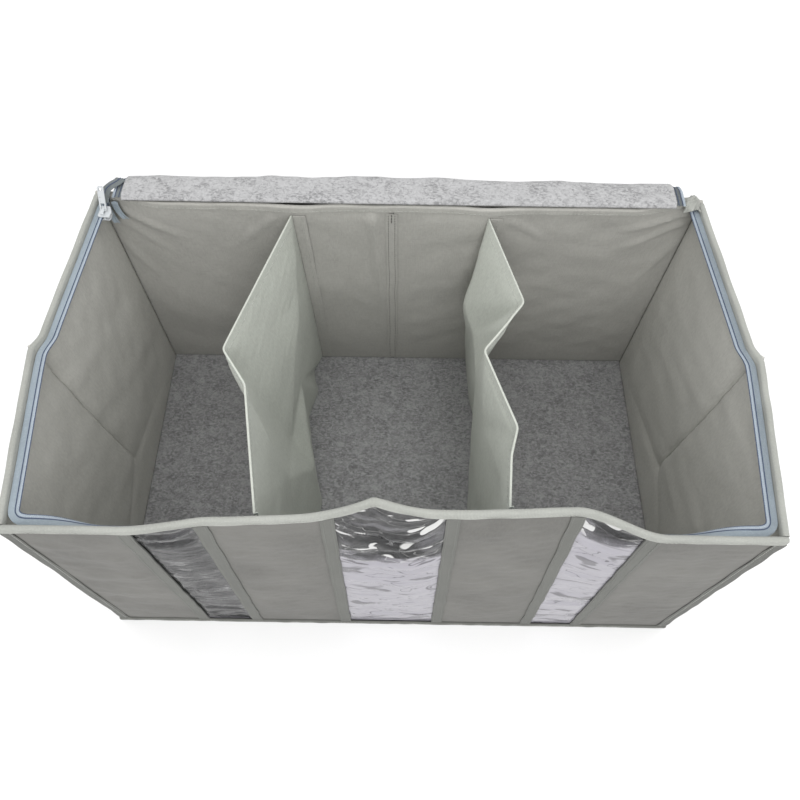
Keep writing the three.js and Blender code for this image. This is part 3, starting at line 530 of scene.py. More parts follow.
class Recipe(Nodes):
    """The shader nodes of one material."""

    def __init__(self, name: str) -> None:
        """Starts a material with its shader.

        Args:
            name: Name of the material.
        """
        self.material = bpy.data.materials.new(name)
        self.material.use_nodes = True
        super().__init__(self.material.node_tree)
        self.shader = self.tree.nodes["Principled BSDF"]
        self.place = self.node("TexCoord").outputs["Object"]

    def set(self, **inputs: object) -> None:
        """Feeds the shader's own sockets, with _ for a space in their names."""
        for name, value in inputs.items():
            self.feed(self.shader.inputs[name.replace("_", " ")], value)

    def cloth(self) -> Socket:
        """Place on the cloth, in metres across and along it."""
        return self.node("UVMap", uv_map=CLOTH_MAP).outputs["UV"]

    def stretched(self, where: Socket, scale: Place, turned: Place = (0, 0, 0)) -> Socket:
        """A place stretched by a factor on each axis, after a turn."""
        inputs = {"Vector": where, "Scale": scale, "Rotation": turned}
        return self.node("Mapping", inputs).outputs["Vector"]

    def noise(self, per_metre: float, detail: float = 3.0, where: Socket | None = None,
              warp: float = 0.0) -> Socket:
        """Cloudy noise of a number of clouds to the metre."""
        inputs = {"Vector": where or self.place, "Scale": per_metre, "Detail": detail, "Distortion": warp}
        return self.node("TexNoise", inputs).outputs["Fac"]

    def cells(self, per_metre: float, even: bool = False) -> Socket:
        """Distance from dots that lie in a grid where even, or loosely."""
        inputs = {"Vector": self.place, "Scale": per_metre, "Randomness": 0.0 if even else 1.0}
        return self.node("TexVoronoi", inputs).outputs["Distance"]

    def waves(self, where: Socket, per_metre: float, axis: str, warp: float = 0.0) -> Socket:
        """Even bands across one axis of a place."""
        inputs = {"Vector": where, "Scale": per_metre / BANDS_PER_SCALE, "Distortion": warp, "Detail": 1.0}
        return self.node("TexWave", inputs, bands_direction=axis).outputs["Fac"]

    def contour(self, value: Socket, level: float, most: float) -> Socket:
        """A thin line where a value crosses a level."""
        away = self.sums("ABSOLUTE", self.sums("SUBTRACT", value, level))
        return self.span(away, 0.0, 0.01, most, 0.0)

    def blend(self, share: object, first: object, second: object) -> Socket:
        """Two colours mixed.

        Args:
            share: How much of the second.
            first: First colour.
            second: Second colour.

        Returns:
            The mixed colour.
        """
        made = self.node("Mix", data_type="RGBA")
        for number, value in ((0, share), (6, first), (7, second)):
            self.feed(made.inputs[number], value)
        return made.outputs[2]

    def tones(self, share: Socket, colours: list[tuple[float, Colour]]) -> Socket:
        """A colour ramp.

        Args:
            share: Where on the ramp.
            colours: Positions and their colours.

        Returns:
            The colour there.
        """
        made = self.node("ValToRGB", {"Fac": share})
        ramp = made.color_ramp
        while len(ramp.elements) < len(colours):
            ramp.elements.new(0.5)
        for element, (position, colour) in zip(ramp.elements, colours):
            element.position = position
            element.color = (*colour, 1.0)
        return made.outputs["Color"]

    def relief(self, layers: list[tuple[Socket, float]]) -> None:
        """Bumps the shader.

        Args:
            layers: A height for each layer, and how far it stands out.
        """
        normal = None
        for height, distance in layers:
            inputs = {"Height": height, "Distance": distance, "Strength": 1.0}
            if normal is not None:
                inputs["Normal"] = normal
            normal = self.node("Bump", inputs).outputs["Normal"]
        self.feed(self.shader.inputs["Normal"], normal)


def times(colour: Colour, factor: float) -> Colour:
    """A colour made lighter or darker."""
    return tuple(min(1.0, part * factor) for part in colour)


@dataclass(frozen=True)
class Finish:
    """What a surface is made of, and the material slot that it fills."""

    name: str
    slot: Slot

    @cache
    def material(self) -> Material:
        """The material, made at its first use."""
        made = Recipe(self.name)
        self.mix(made)
        return made.material

    def mix(self, made: Recipe) -> None:
        """Wires the material's nodes, each kind of finish in its own way."""
        raise NotImplementedError


@dataclass(frozen=True)
class NonWoven(Finish):
    """Pressed non-woven cloth: matt, faintly clouded, with fine fibres and a grid of pressed dots."""

    colour: Colour
    dots: float = 1.9 * MM
    clouds: float = 0.07

    def mix(self, made: Recipe) -> None:
        """Wires the nodes.

        Args:
            made: Recipe of the material.
        """
        cloud = made.tones(made.noise(13.0, 4.0), [
            (0.3, times(self.colour, 1.0 - self.clouds)), (0.7, times(self.colour, 1.0 + self.clouds)),
        ])
        fibre = made.noise(520.0, 5.0, made.stretched(made.place, (1.0, 1.0, 0.35)))
        long_fibre = made.noise(900.0, 3.0, made.stretched(made.place, (0.12, 0.3, 1.0), (0.2, 0.1, 0.5)))
        dot = made.span(made.cells(1.0 / self.dots, even=True), 0.12, 0.3)
        colour = made.blend(made.span(fibre, 0.35, 0.68, 0.0, 0.5), cloud, times(self.colour, 1.22))
        colour = made.blend(made.span(long_fibre, 0.55, 0.75, 0.0, 0.35), colour, times(self.colour, 0.72))
        colour = made.blend(made.span(dot, 0.0, 1.0, 0.16, 0.0), colour, times(self.colour, 0.6))
        made.set(Base_Color=colour, Roughness=made.span(fibre, 0.3, 0.7, 0.8, 0.94))
        made.set(Specular_IOR_Level=0.28, Sheen_Weight=0.12, Sheen_Roughness=0.6)
        made.relief([
            (made.noise(70.0, 2.0), 0.5 * MM), (fibre, 0.16 * MM), (long_fibre, 0.1 * MM), (dot, 0.12 * MM),
        ])


@dataclass(frozen=True)
class Felt(Finish):
    """Needled felt of light and dark fibres."""

    light: Colour
    middle: Colour
    dark: Colour
    tufts: float
    clumped: float

    def mix(self, made: Recipe) -> None:
        """Wires the nodes.

        Args:
            made: Recipe of the material.
        """
        worms = made.noise(self.tufts, 5.0, warp=1.4)
        slanted = made.stretched(made.place, (0.5, 1.2, 1.0), (0, 0, 0.7))
        specks = made.noise(self.tufts * 2.3, 3.0, slanted, 0.6)
        patches = made.noise(46.0, 4.0, warp=0.8)
        colour = made.tones(worms, [(0.32, self.dark), (0.5, self.middle), (0.68, self.light)])
        colour = made.blend(made.span(specks, 0.56, 0.72, 0.0, 0.65), colour, times(self.light, 1.15))
        colour = made.blend(made.span(specks, 0.44, 0.3, 0.0, 0.7), colour, times(self.dark, 0.8))
        thick = made.span(patches, 0.5, 0.62)
        clumps = made.sums("MULTIPLY", thick, made.span(specks, 0.56, 0.44, 0.0, self.clumped))
        colour = made.blend(clumps, colour, times(self.dark, 0.7))
        colour = made.blend(made.span(patches, 0.5, 0.3, 0.0, 0.3), colour, self.light)
        made.set(Base_Color=colour, Roughness=made.span(worms, 0.3, 0.7, 0.88, 0.99))
        made.set(Specular_IOR_Level=0.2, Sheen_Weight=0.3, Sheen_Roughness=0.5)
        made.relief([(worms, 0.7 * MM), (specks, 0.35 * MM), (made.noise(1500.0, 2.0), 0.12 * MM)])


@dataclass(frozen=True)
class WovenTape(Finish):
    """Narrow woven tape: ribs across it and fine yarns along it."""

    colour: Colour
    ribs: float = 1.1 * MM
    yarns: float = 0.55 * MM
    twill: float = 0.0

    def mix(self, made: Recipe) -> None:
        """Wires the nodes.

        Args:
            made: Recipe of the material.
        """
        cloth = made.cloth()
        turned = made.stretched(cloth, (1.0, 1.0, 1.0), (0.0, 0.0, self.twill))
        rib = made.waves(turned, 1.0 / self.ribs, "Y", 0.4)
        yarn = made.waves(turned, 1.0 / self.yarns, "X", 0.6)
        fuzz = made.noise(700.0, 4.0)
        colour = made.tones(made.noise(24.0, 4.0), [
            (0.3, times(self.colour, 0.9)), (0.7, times(self.colour, 1.08)),
        ])
        colour = made.blend(made.span(rib, 0.0, 0.6, 0.3, 0.0), colour, times(self.colour, 0.66))
        colour = made.blend(made.span(fuzz, 0.5, 0.72, 0.0, 0.4), colour, times(self.colour, 1.25))
        made.set(Base_Color=colour, Roughness=made.span(fuzz, 0.3, 0.7, 0.76, 0.92))
        made.set(Specular_IOR_Level=0.3, Sheen_Weight=0.15, Sheen_Roughness=0.5)
        made.relief([
            (made.noise(90.0, 2.0), 0.35 * MM), (rib, 0.18 * MM), (yarn, 0.08 * MM), (fuzz, 0.1 * MM),
        ])


@dataclass(frozen=True)
class Thread(Finish):
    """Twisted sewing thread or nylon coil."""

    colour: Colour
    rough: float = 0.6
    twist: float = 2600.0

    def mix(self, made: Recipe) -> None:
        """Wires the nodes.

        Args:
            made: Recipe of the material.
        """
        ply = made.noise(self.twist, 2.0, made.stretched(made.place, (1.0, 0.6, 0.6), (0.5, 0.3, 0.8)))
        shade = made.noise(60.0, 2.0)
        light, dark = times(self.colour, 1.1), times(self.colour, 0.75)
        colour = made.blend(made.span(ply, 0.4, 0.65, 0.0, 0.6), light, dark)
        colour = made.blend(made.span(shade, 0.35, 0.65, 0.0, 0.3), colour, times(self.colour, 0.85))
        made.set(Base_Color=colour, Roughness=made.span(ply, 0.3, 0.7, self.rough, self.rough + 0.15))
        made.set(Specular_IOR_Level=0.45)
        made.relief([(ply, 0.08 * MM)])


@dataclass(frozen=True)
class Vinyl(Finish):
    """Clear soft film: glossy, hazy towards its foot, clear where it hangs slack under the rim; there its
    colour is painted dark as the shaded inside of the box, with painted glints.
    """

    middle: float
    half: float
    clears_from: float
    clears_to: float
    sag: float
    # Strength of the painted glints on the film.
    painted_glints: float = 1.0
    hazy: Colour = (0.38, 0.37, 0.405)
    # Painted highlight: the colour of the glints on the film.
    painted_highlight: Colour = (0.66, 0.66, 0.65)
    # Painted shade: the dark colour of the film where it is clear, standing in for the shaded inside of the
    # box seen through it.
    clear: Colour = (0.02, 0.02, 0.022)
    film: float = 0.86
    clear_film: float = 0.5
    height: float = 300 * MM
    covered_to: Span = (11 * MM, 17 * MM)

    def mix(self, made: Recipe) -> None:
        """Wires the nodes.

        Args:
            made: Recipe of the material.
        """
        x, y, z = made.node("SeparateXYZ", {0: made.place}).outputs
        off = made.sums("DIVIDE", made.sums("SUBTRACT", x, self.middle), self.half)
        inner = made.sums("SUBTRACT", 1.0, made.sums("MULTIPLY", off, off))
        share = made.span(z, 0.0, self.height, 0.0, self.sag)
        hung = made.sums("ADD", z, made.sums("MULTIPLY", inner, share))
        place = made.node("CombineXYZ", {0: x, 1: y, 2: hung}).outputs[0]
        drape = made.noise(26.0, 2.5, made.stretched(place, (0.6, 0.5, 2.0), (0.0, 0.12, 0.0)), 0.9)
        fine = made.noise(150.0, 4.0, made.stretched(place, (0.3, 0.3, 1.6)), 0.6)
        edge = made.sums("ADD", hung, made.span(drape, 0.3, 0.7, -16 * MM, 16 * MM))
        clear = made.span(edge, self.clears_from, self.clears_to)
        colour = made.blend(made.span(fine, 0.4, 0.7, 0.0, 0.35), self.hazy, times(self.hazy, 1.2))
        # Painted shade: darker patches where the drape folds stand highest, and thin dark lines along the
        # folds of the hazy film.
        colour = made.blend(made.span(drape, 0.59, 0.63, 0.0, 0.7), colour, times(self.hazy, 0.22))
        colour = made.blend(made.contour(drape, 0.43, 0.75), colour, times(self.hazy, 0.15))
        # Painted highlights: bright glint patches, thin bright lines along the folds and lighter patches on
        # the folds, over the painted dark shade of the clear part.
        painted_glint_patch = made.noise(30.0, 1.0, made.stretched(place, (0.7, 0.5, 1.6), (0.0, 0.5, 0.3)), 1.4)
        painted_glint_patch = made.span(painted_glint_patch, 0.615, 0.635)
        painted_glint = made.sums("MULTIPLY", made.sums("MAXIMUM", painted_glint_patch, made.contour(drape, 0.5, 0.6)), self.painted_glints)
        seen = made.blend(made.span(drape, 0.58, 0.66, 0.0, 0.4 * self.painted_glints), self.clear, self.hazy)
        seen = made.blend(painted_glint, seen, self.painted_highlight)
        through = made.sums("MULTIPLY", clear, made.sums("SUBTRACT", 1.0, painted_glint))
        film = made.span(through, 0.0, 1.0, self.film, self.clear_film)
        covered = made.span(z, *self.covered_to, 1.0, 0.0)
        # Where the film is clear it takes the painted dark shade with its painted glints; elsewhere it takes
        # the haze colour.
        made.set(Base_Color=made.blend(clear, colour, seen), Alpha=made.sums("MAXIMUM", film, covered))
        made.set(Roughness=made.span(fine, 0.45, 0.75, 0.03, 0.14), IOR=1.4, Specular_IOR_Level=0.5)
        made.set(Coat_Weight=0.15, Coat_Roughness=0.05)
        made.relief([(drape, 1.6 * MM), (fine, 0.06 * MM)])


@dataclass(frozen=True)
class SatinPaint(Finish):
    """Pale satin paint on zinc, worn through on a few spots."""

    colour: Colour
    zinc: Colour = (0.44, 0.45, 0.46)

    def mix(self, made: Recipe) -> None:
        """Wires the nodes.

        Args:
            made: Recipe of the material.
        """
        worn = made.span(made.noise(420.0, 5.0), 0.63, 0.68)
        specks = made.noise(1800.0, 2.0)
        colour = made.blend(made.span(specks, 0.3, 0.7, 0.0, 0.2), self.colour, times(self.colour, 0.85))
        made.set(Base_Color=made.blend(worn, colour, self.zinc), Metallic=made.span(worn, 0.0, 1.0, 0.0, 0.9))
        made.set(Roughness=made.span(specks, 0.3, 0.7, 0.28, 0.42), Coat_Weight=0.3)
        made.relief([(specks, 0.03 * MM), (made.sums("SUBTRACT", 1.0, worn), 0.05 * MM)])


@dataclass(frozen=True)
class Cardboard(Finish):
    """Grey-brown board with flecks of fibre."""

    colour: Colour

    def mix(self, made: Recipe) -> None:
        """Wires the nodes.

        Args:
            made: Recipe of the material.
        """
        grain = made.noise(180.0, 6.0, made.stretched(made.place, (0.25, 1.0, 1.0), (0, 0, 0.2)))
        flecks = made.noise(650.0, 2.0, warp=1.0)
        colour = made.tones(grain, [(0.3, times(self.colour, 0.8)), (0.7, times(self.colour, 1.15))])
        colour = made.blend(made.span(flecks, 0.62, 0.7, 0.0, 0.6), colour, times(self.colour, 0.45))
        made.set(Base_Color=colour, Roughness=made.span(grain, 0.3, 0.7, 0.82, 0.95), Specular_IOR_Level=0.25)
        made.relief([(grain, 0.2 * MM), (flecks, 0.06 * MM)])


@dataclass
class Palette:
    """The finishes of the box."""

    shell: NonWoven = NonWoven("shell_non_woven", Slot.SHELL, (0.132, 0.13, 0.12), clouds=0.2)
    lining: NonWoven = NonWoven("lining_non_woven", Slot.LINING, (0.35, 0.345, 0.32), clouds=0.05)
    # Painted light: a lighter copy of the lining cloth for the side walls, standing in for the light they
    # get.
    side_lining: NonWoven = NonWoven("side_lining_non_woven", Slot.LINING, (0.5, 0.495, 0.46), clouds=0.06)
    divider: NonWoven = NonWoven("divider_non_woven", Slot.DIVIDER, (0.465, 0.486, 0.438), clouds=0.04)
    tape: WovenTape = WovenTape("binding_woven", Slot.TAPE, (0.37, 0.378, 0.35))
    window_tape: WovenTape = WovenTape("window_binding_woven", Slot.TAPE, (0.14, 0.143, 0.13))
    webbing: WovenTape = WovenTape("strap_webbing", Slot.TAPE, (0.40, 0.41, 0.385), 2.2 * MM, 1.3 * MM)
    zip_tape: WovenTape = WovenTape("zip_tape_woven", Slot.ZIP, (0.31, 0.365, 0.41), 0.8 * MM, twill=0.6)
    lid_zip: WovenTape = WovenTape(
        "lid_zip_tape_woven", Slot.ZIP, (0.15, 0.168, 0.172), 0.8 * MM, twill=0.6)
    coil: Thread = Thread("zip_coil_nylon", Slot.ZIP, (0.34, 0.39, 0.44), rough=0.35)
    # Dark sewing thread of the zips, also used for the painted shade line along the free edge of the rim
    # zip's coil.
    zip_thread: Thread = Thread("zip_thread_dark", Slot.ZIP, (0.055, 0.075, 0.13))
    thread: Thread = Thread("sewing_thread", Slot.TAPE, (0.40, 0.41, 0.38))
    window_thread: Thread = Thread("window_thread", Slot.TAPE, (0.2, 0.205, 0.19))
    seam_thread: Thread = Thread("seam_thread", Slot.LINING, (0.09, 0.09, 0.082))
    dark_thread: Thread = Thread("sewing_thread_dark", Slot.LINING, (0.05, 0.05, 0.045))
    floor: Felt = Felt("floor_felt_grey", Slot.FLOOR_FELT, (0.39, 0.39, 0.395), (0.3, 0.3, 0.303),
                        (0.2, 0.2, 0.203), tufts=180.0, clumped=0.3)
    lid: Felt = Felt("lid_felt_light", Slot.LID_FELT, (0.42, 0.42, 0.425), (0.375, 0.375, 0.38),
                      (0.24, 0.24, 0.243), tufts=230.0, clumped=0.6)
    paint: SatinPaint = SatinPaint("slider_paint", Slot.PAINT, (0.52, 0.545, 0.56))
    board: Cardboard = Cardboard("lid_board_fibre", Slot.BOARD, (0.46, 0.33, 0.19))


# The box


@dataclass(frozen=True)
class Settling:
    """How the soft walls have settled: zero at the base and most at the rim."""

    height: float = 300 * MM
    half_depth: float = 175 * MM
    slack: float = 15 * MM
    skew: float = 0.045
    slack_reach: float = 212 * MM
    slack_ease: float = 70 * MM
    peak: float = 13 * MM
    peak_x: float = -15 * MM
    peak_spread: float = 33 * MM
    peak_round: float = 0.55
    front_hollow: float = 1.4
    bulge: float = 13.5 * MM
    fold_y: float = -9 * MM
    softness: float = 14 * MM
    side_hollow: float = 1.2
    jog: float = 5 * MM
    jog_span: Span = (-14 * MM, 8 * MM)
    pull: float = 12 * MM
    pull_reach: float = 294 * MM
    pull_ease: float = 64 * MM
    tug: float = 3 * MM
    tug_spread: float = 30 * MM
    tugs_at: tuple[float, float] = (-103 * MM, 89 * MM)
    back_hollow: float = 1.6

    def rise(self, z: Array, power: float) -> Array:
        """Share of the settling at a height."""
        return np.clip(np.asarray(z, float) / self.height, 0.0, 1.0) ** power

    def front(self, x: Array, z: Array) -> Array:
        """How far the front wall has come in, towards +Y.

        Args:
            x: Places along it.
            z: Heights.

        Returns:
            The distances.
        """
        inner = smooth(self.slack_reach - np.abs(x), 0.0, self.slack_ease)
        sway = inner * (self.slack + self.skew * x)
        away = x - self.peak_x
        pointed = np.exp(-np.abs(away) / (0.5 * self.peak_spread))
        tent = self.peak_round * hump(away, self.peak_spread) + (1.0 - self.peak_round) * pointed
        return self.rise(z, self.front_hollow) * (sway + self.peak * tent)

    def back(self, x: Array, z: Array) -> Array:
        """How far the back wall has come in, towards -Y.

        Args:
            x: Places along it.
            z: Heights.

        Returns:
            The distances.
        """
        inner = smooth(self.pull_reach - np.abs(x), 0.0, self.pull_ease)
        tugs = sum(hump(x - at, self.tug_spread) for at in self.tugs_at)
        return self.rise(z, self.back_hollow) * (inner * self.pull + tugs * self.tug)

    def side(self, y: Array, z: Array) -> Array:
        """How far a side wall stands out at its fold line.

        Args:
            y: Places along it.
            z: Heights.

        Returns:
            The distances.
        """
        away = np.asarray(y, float) - self.fold_y
        reach = self.half_depth - np.sign(away) * self.fold_y
        near = np.maximum(0.0, 1.0 - (np.hypot(away, self.softness) - self.softness) / reach)
        out = self.bulge + self.jog * smooth(-away, *self.jog_span)
        return out * near * self.rise(z, self.side_hollow)


@dataclass(frozen=True)
class Stock:
    """Thickness of the cloths and tapes, and the box that they make."""

    half_width: float = 300 * MM
    half_depth: float = 175 * MM
    height: float = 300 * MM
    gap: float = 0.3 * MM
    base: float = 3 * MM
    wall: float = 3 * MM
    front: float = 2.4 * MM
    vinyl: float = 0.8 * MM
    tape: float = 0.9 * MM
    rim_height: float = 8 * MM
    bottom_height: float = 9 * MM
    chain_width: float = 9.8 * MM
    coil_width: float = 2.8 * MM
    seam_bite: float = 4 * MM

    @property
    def skin(self) -> float:
        """How far a binding stands off the cloth that it binds."""
        return self.gap + self.tape

    @property
    def wall_foot(self) -> float:
        """Where the walls start."""
        return self.base + self.gap

    @property
    def wall_top(self) -> float:
        """Where the walls end inside the rim tape."""
        return self.height - self.skin

    @property
    def rim_foot(self) -> float:
        """Lower edge of the rim tape."""
        return self.height - self.rim_height

    @property
    def tapes_from(self) -> float:
        """Where the upright tapes start."""
        return self.bottom_height + self.gap

    @property
    def tapes_to(self) -> float:
        """Where the upright tapes end."""
        return self.rim_foot - self.gap


@dataclass
class Assembly:
    """What every sub-assembly of the box shares."""

    palette: Palette
    stock: Stock
    settling: Settling

    def dress(self, piece: Piece, finish: Finish, *nodes: str, body: str = "box") -> Piece:
        """Gives a piece its finish, its body and the solids that it stands for.

        Args:
            piece: The piece.
            finish: Its finish, from the palette.
            *nodes: Solids that it replaces.
            body: Body that it rides on, or "" for a piece that rides on none.

        Returns:
            The piece.
        """
        piece.data.materials.clear()
        piece.data.materials.append(finish.material())
        if body:
            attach(piece, body)
        if nodes:
            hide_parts(*nodes)
        stands_for = ", ".join(nodes) or "no solid"
        log.info("%s: %d faces, stands for %s", piece.name, len(piece.data.polygons), stands_for)
        return piece

    def sew(self, name: str, rows: list[tuple[Array, Array | Place]], thread: Thread,
            stitching: Stitching = Stitching(), body: str = "box") -> Piece:
        """Makes rows of stitches, each along a line and with a direction out of the cloth."""
        return self.dress(build(name, *(stitching.shell(*row) for row in rows)), thread, body=body)

    def face(self, piece: Piece, way: Place, finish: Finish) -> None:
        """Gives the faces of a piece that look a certain way a finish of their own.

        Args:
            piece: The piece.
            way: Direction in which they look.
            finish: Their finish.
        """
        piece.data.materials.append(finish.material())
        normals = np.zeros(3 * len(piece.data.polygons))
        piece.data.polygons.foreach_get("normal", normals)
        looks = normals.reshape(-1, 3) @ np.array(way) > 0.2
        piece.data.polygons.foreach_set("material_index", looks.astype(np.int32))

    def keep(self, node: str, finish: Finish, bevel: float = 0.0) -> None:
        """Gives a solid that stays its finish, and softens its edges.

        Args:
            node: Name of the solid.
            finish: Its finish.
            bevel: How far its edges are softened.
        """
        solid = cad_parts[node]
        solid.data.materials.clear()
        solid.data.materials.append(finish.material())
        if bevel > 0.0:
            soft = solid.modifiers.new("soft_edges", "BEVEL")
            soft.width = bevel
            soft.segments = 2
            soft.limit_method = "ANGLE"
        log.info("%s: kept, in %s", node, finish.name)

    def front_y(self, x: Array, z: Array, off: float = 0.0) -> Array:
        """Y of the front wall's outer face, moved inwards by an offset."""
        return -self.stock.half_depth + off + self.settling.front(x, z)

    def back_y(self, x: Array, z: Array, off: float = 0.0) -> Array:
        """Y of the back wall's outer face, moved inwards by an offset."""
        return self.stock.half_depth - off - self.settling.back(x, z)

    def side_x(self, side: Side, y: Array, z: Array, off: float = 0.0) -> Array:
        """X of a side wall's outer face, moved inwards by an offset."""
        return side.value * (self.stock.half_width - off + self.settling.side(y, z))

    def on_wall(self, wall: Side | End, along: Array, z: Array, off: Array | float) -> Array:
        """Points on the outer face of a wall, moved inwards.

        Args:
            wall: The wall.
            along: X or Y along it.
            z: Heights.
            off: How far inwards they are moved.

        Returns:
            The points.
        """
        if isinstance(wall, Side):
            return stack(self.side_x(wall, along, z, off), along, z)
        reach = self.front_y if wall is End.FRONT else self.back_y
        return stack(along, reach(along, z, off), z)

    def folded(self, half: float, wall: float, left: Span, right: Span, radius: float) -> Array:
        """Outline of a tape folded over two cloth edges that meet in it, as (across, inwards).

        Args:
            half: Half of its width.
            wall: Thickness of the wall that it binds.
            left: Slot for the cloth on its left.
            right: Slot for the cloth on its right.
            radius: How round its edges are.

        Returns:
            Points of the outline.
        """
        web = half - self.stock.seam_bite - self.stock.gap
        outer, inner = -self.stock.skin, wall + self.stock.skin
        return rounded([
            (-half, outer), (half, outer), (half, right[0]), (web, right[0]), (web, right[1]),
            (half, right[1]), (half, inner), (-half, inner), (-half, left[1]), (-web, left[1]),
            (-web, left[0]), (-half, left[0]),
        ], radius)


@dataclass(frozen=True)
class Pane:
    """How one window's film hangs, from which height up it is clear and painted dark as the shaded inside of
    the box, and how strong its painted glints are.
    """

    seed: int
    folds: tuple[float, ...]
    sag: float
    clears_from: float
    clears_to: float
    # Strength of the painted glints on the film.
    painted_glints: float = 1.0
    lowest: float = 0.5


@dataclass
class FrontWall(Assembly):
    """Four cloth strips and three clear windows, with a binding on each window edge."""

    step: float = 3 * MM
    vinyl_step: float = 2 * MM
    pillow: float = 1.5 * MM
    pucker: float = 0.36 * MM
    binding_width: float = 11.5 * MM
    drags: int = 7
    stitch_rows: Span = (-0.62, 0.62)

    def build(self) -> None:
        """Makes the whole wall."""
        for number in range(1, 5):
            self.strip(number)
        high_folds = (0.98, 0.95, 0.92, 0.88, 0.85, 0.81, 0.77, 0.72, 0.66)
        panes = {
            "left": Pane(5, (0.96, 0.9, 0.16, 0.1), 14 * MM, -20 * MM, 26 * MM, 0.25),
            "middle": Pane(6, (*high_folds, 0.6, 0.52, 0.12), 58 * MM, 214 * MM, 232 * MM),
            "right": Pane(7, (0.97, 0.93, 0.9, 0.84, 0.76, 0.6, 0.3), 12 * MM, 262 * MM, 284 * MM),
        }
        for name, pane in panes.items():
            self.window(name, pane)
        for name in panes:
            for edge in "ab":
                self.window_tape(name, edge)

    def creases(self, number: int, low: float, high: float) -> list[Crease]:
        """Drag lines of one strip, from its edges inwards.

        Args:
            number: The strip's number.
            low: X of its left edge.
            high: X of its right edge.

        Returns:
            The lines.
        """
        draw = np.random.default_rng(40 + number)
        lines = []
        for side in (low, high):
            for _ in range(self.drags):
                z = draw.uniform(35 * MM, 275 * MM)
                reach = draw.uniform(0.25, 0.6) * (high - low) * (1 if side == low else -1)
                drop = draw.uniform(-22 * MM, 14 * MM)
                tall = draw.uniform(0.35, 1.0) * MM
                lines.append(Crease((side, z), (side + reach, z + drop), tall, draw.uniform(2.0, 4.5) * MM))
        return lines

    def strip(self, number: int) -> None:
        """Makes one cloth strip.

        Args:
            number: Its number, from the left.
        """
        node = f"front_strip_{number}"
        low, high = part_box(node)
        foot, top = self.stock.wall_foot, self.stock.wall_top
        x, z = np.meshgrid(stations(low.x, high.x, self.step, EDGE), stations(foot, top, self.step, EDGE))
        inside = smooth(np.minimum(x - low.x, high.x - x), 4 * MM, 26 * MM)
        inside *= smooth(z, 8 * MM, 40 * MM) * smooth(top - z, 10 * MM, 34 * MM)
        rough = Waves(70 + number, 46 * MM).at(x, z)
        fine = Waves(80 + number, 15 * MM).at(x, z * 1.8)
        out = inside * (self.pillow * (0.6 + 0.8 * rough) + self.pucker * fine)
        drags = sum(crease.lift(x, z) for crease in self.creases(number, low.x, high.x))
        out += drags * smooth(inside, 0.0, 0.6)
        y = self.front_y(x, z, self.stock.front / 2) - out
        piece = build(node + "_cloth", sheet(stack(x, y, z), self.stock.front))
        self.face(self.dress(piece, self.palette.shell, node), End.BACK.out, self.palette.lining)

    def garlands(self, pane: Pane, low: float, high: float) -> list[Garland]:
        """Folds that hang across a window, close together under the rim and rare at the foot.

        Args:
            pane: How the film hangs.
            low: Height of its foot.
            high: Height of its top.

        Returns:
            The folds.
        """
        draw = np.random.default_rng(pane.seed)
        folds = []
        for share in pane.folds:
            z = low + (high - low) * (share + draw.uniform(-0.012, 0.012))
            slack = pane.sag * share * draw.uniform(0.8, 1.15)
            tall = draw.uniform(0.8, 1.25) * (2.8 if share > 0.6 else 1.8) * MM
            folds.append(Garland(
                z, slack, tall * draw.choice([-1, 1]), draw.uniform(2.4, 4.4) * MM,
                pane.lowest + draw.uniform(-0.08, 0.08), draw.uniform(-10, 10) * MM))
        return folds

    def window(self, name: str, pane: Pane) -> None:
        """Makes one clear window with its slack folds.

        Args:
            name: Which window.
            pane: How its film hangs.
        """
        node = f"front_window_{name}"
        low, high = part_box(node)
        foot, top = self.stock.wall_foot, self.stock.wall_top
        bite, step, edge = self.stock.seam_bite, self.vinyl_step, 0.5 * MM
        x, z = np.meshgrid(stations(low.x, high.x, step, edge), stations(foot, top, step, edge))
        share = (x - low.x) / (high.x - low.x)
        held = smooth(np.minimum(x - low.x, high.x - x), bite, bite + 9 * MM)
        held *= smooth(z, 10 * MM, 24 * MM) * smooth(top - z, 9 * MM, 20 * MM)
        out = sum(fold.lift(share, z) for fold in self.garlands(pane, foot, top))
        out += 0.5 * MM * Waves(pane.seed, 30 * MM).at(x, z)
        out += 0.12 * MM * Waves(pane.seed + 30, 9 * MM).at(x * 0.7, z * 1.6)
        y = self.front_y(x, z, self.stock.front / 2) - held * out
        piece = build(node + "_vinyl", sheet(stack(x, y, z), self.stock.vinyl / 2))
        finish = Vinyl(f"vinyl_{name}", Slot.VINYL, (low.x + high.x) / 2, (high.x - low.x) / 2,
                       pane.clears_from, pane.clears_to, pane.sag, pane.painted_glints)
        self.dress(piece, finish, node)

    def window_tape(self, name: str, edge: str) -> None:
        """Makes the folded binding on one window edge, with its two rows of stitches.

        Args:
            name: Which window.
            edge: "a" for its left edge, "b" for its right one.
        """
        node = f"window_tape_{name}_{edge}"
        low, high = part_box(node)
        gap, front = self.stock.gap, self.stock.front
        centre, half = (low.x + high.x) / 2, self.binding_width / 2
        cloth = (-gap, front + gap)
        room = self.stock.vinyl / 2 + gap
        vinyl = (front / 2 - room, front / 2 + room)
        slots = (cloth, vinyl) if edge == "a" else (vinyl, cloth)
        across, inwards = self.folded(half, front, *slots, 0.45 * MM).T
        z = stations(self.stock.tapes_from, self.stock.tapes_to, self.step)
        sway = 0.5 * MM * Waves(len(node) + ord(edge), 34 * MM).at(z)
        rings = stack(
            centre + sway[:, None] + across, self.front_y(centre + across, z[:, None]) + inwards, z[:, None])
        self.dress(build(node + "_binding", tube(rings)), self.palette.window_tape, node)
        rows = []
        for share in self.stitch_rows:
            x = centre + sway + share * half
            for depth, out in ((-self.stock.skin, End.FRONT.out), (front + self.stock.skin, End.BACK.out)):
                rows.append((self.on_wall(End.FRONT, x, z, depth), out))
        self.sew(node + "_stitches", rows, self.palette.window_thread)


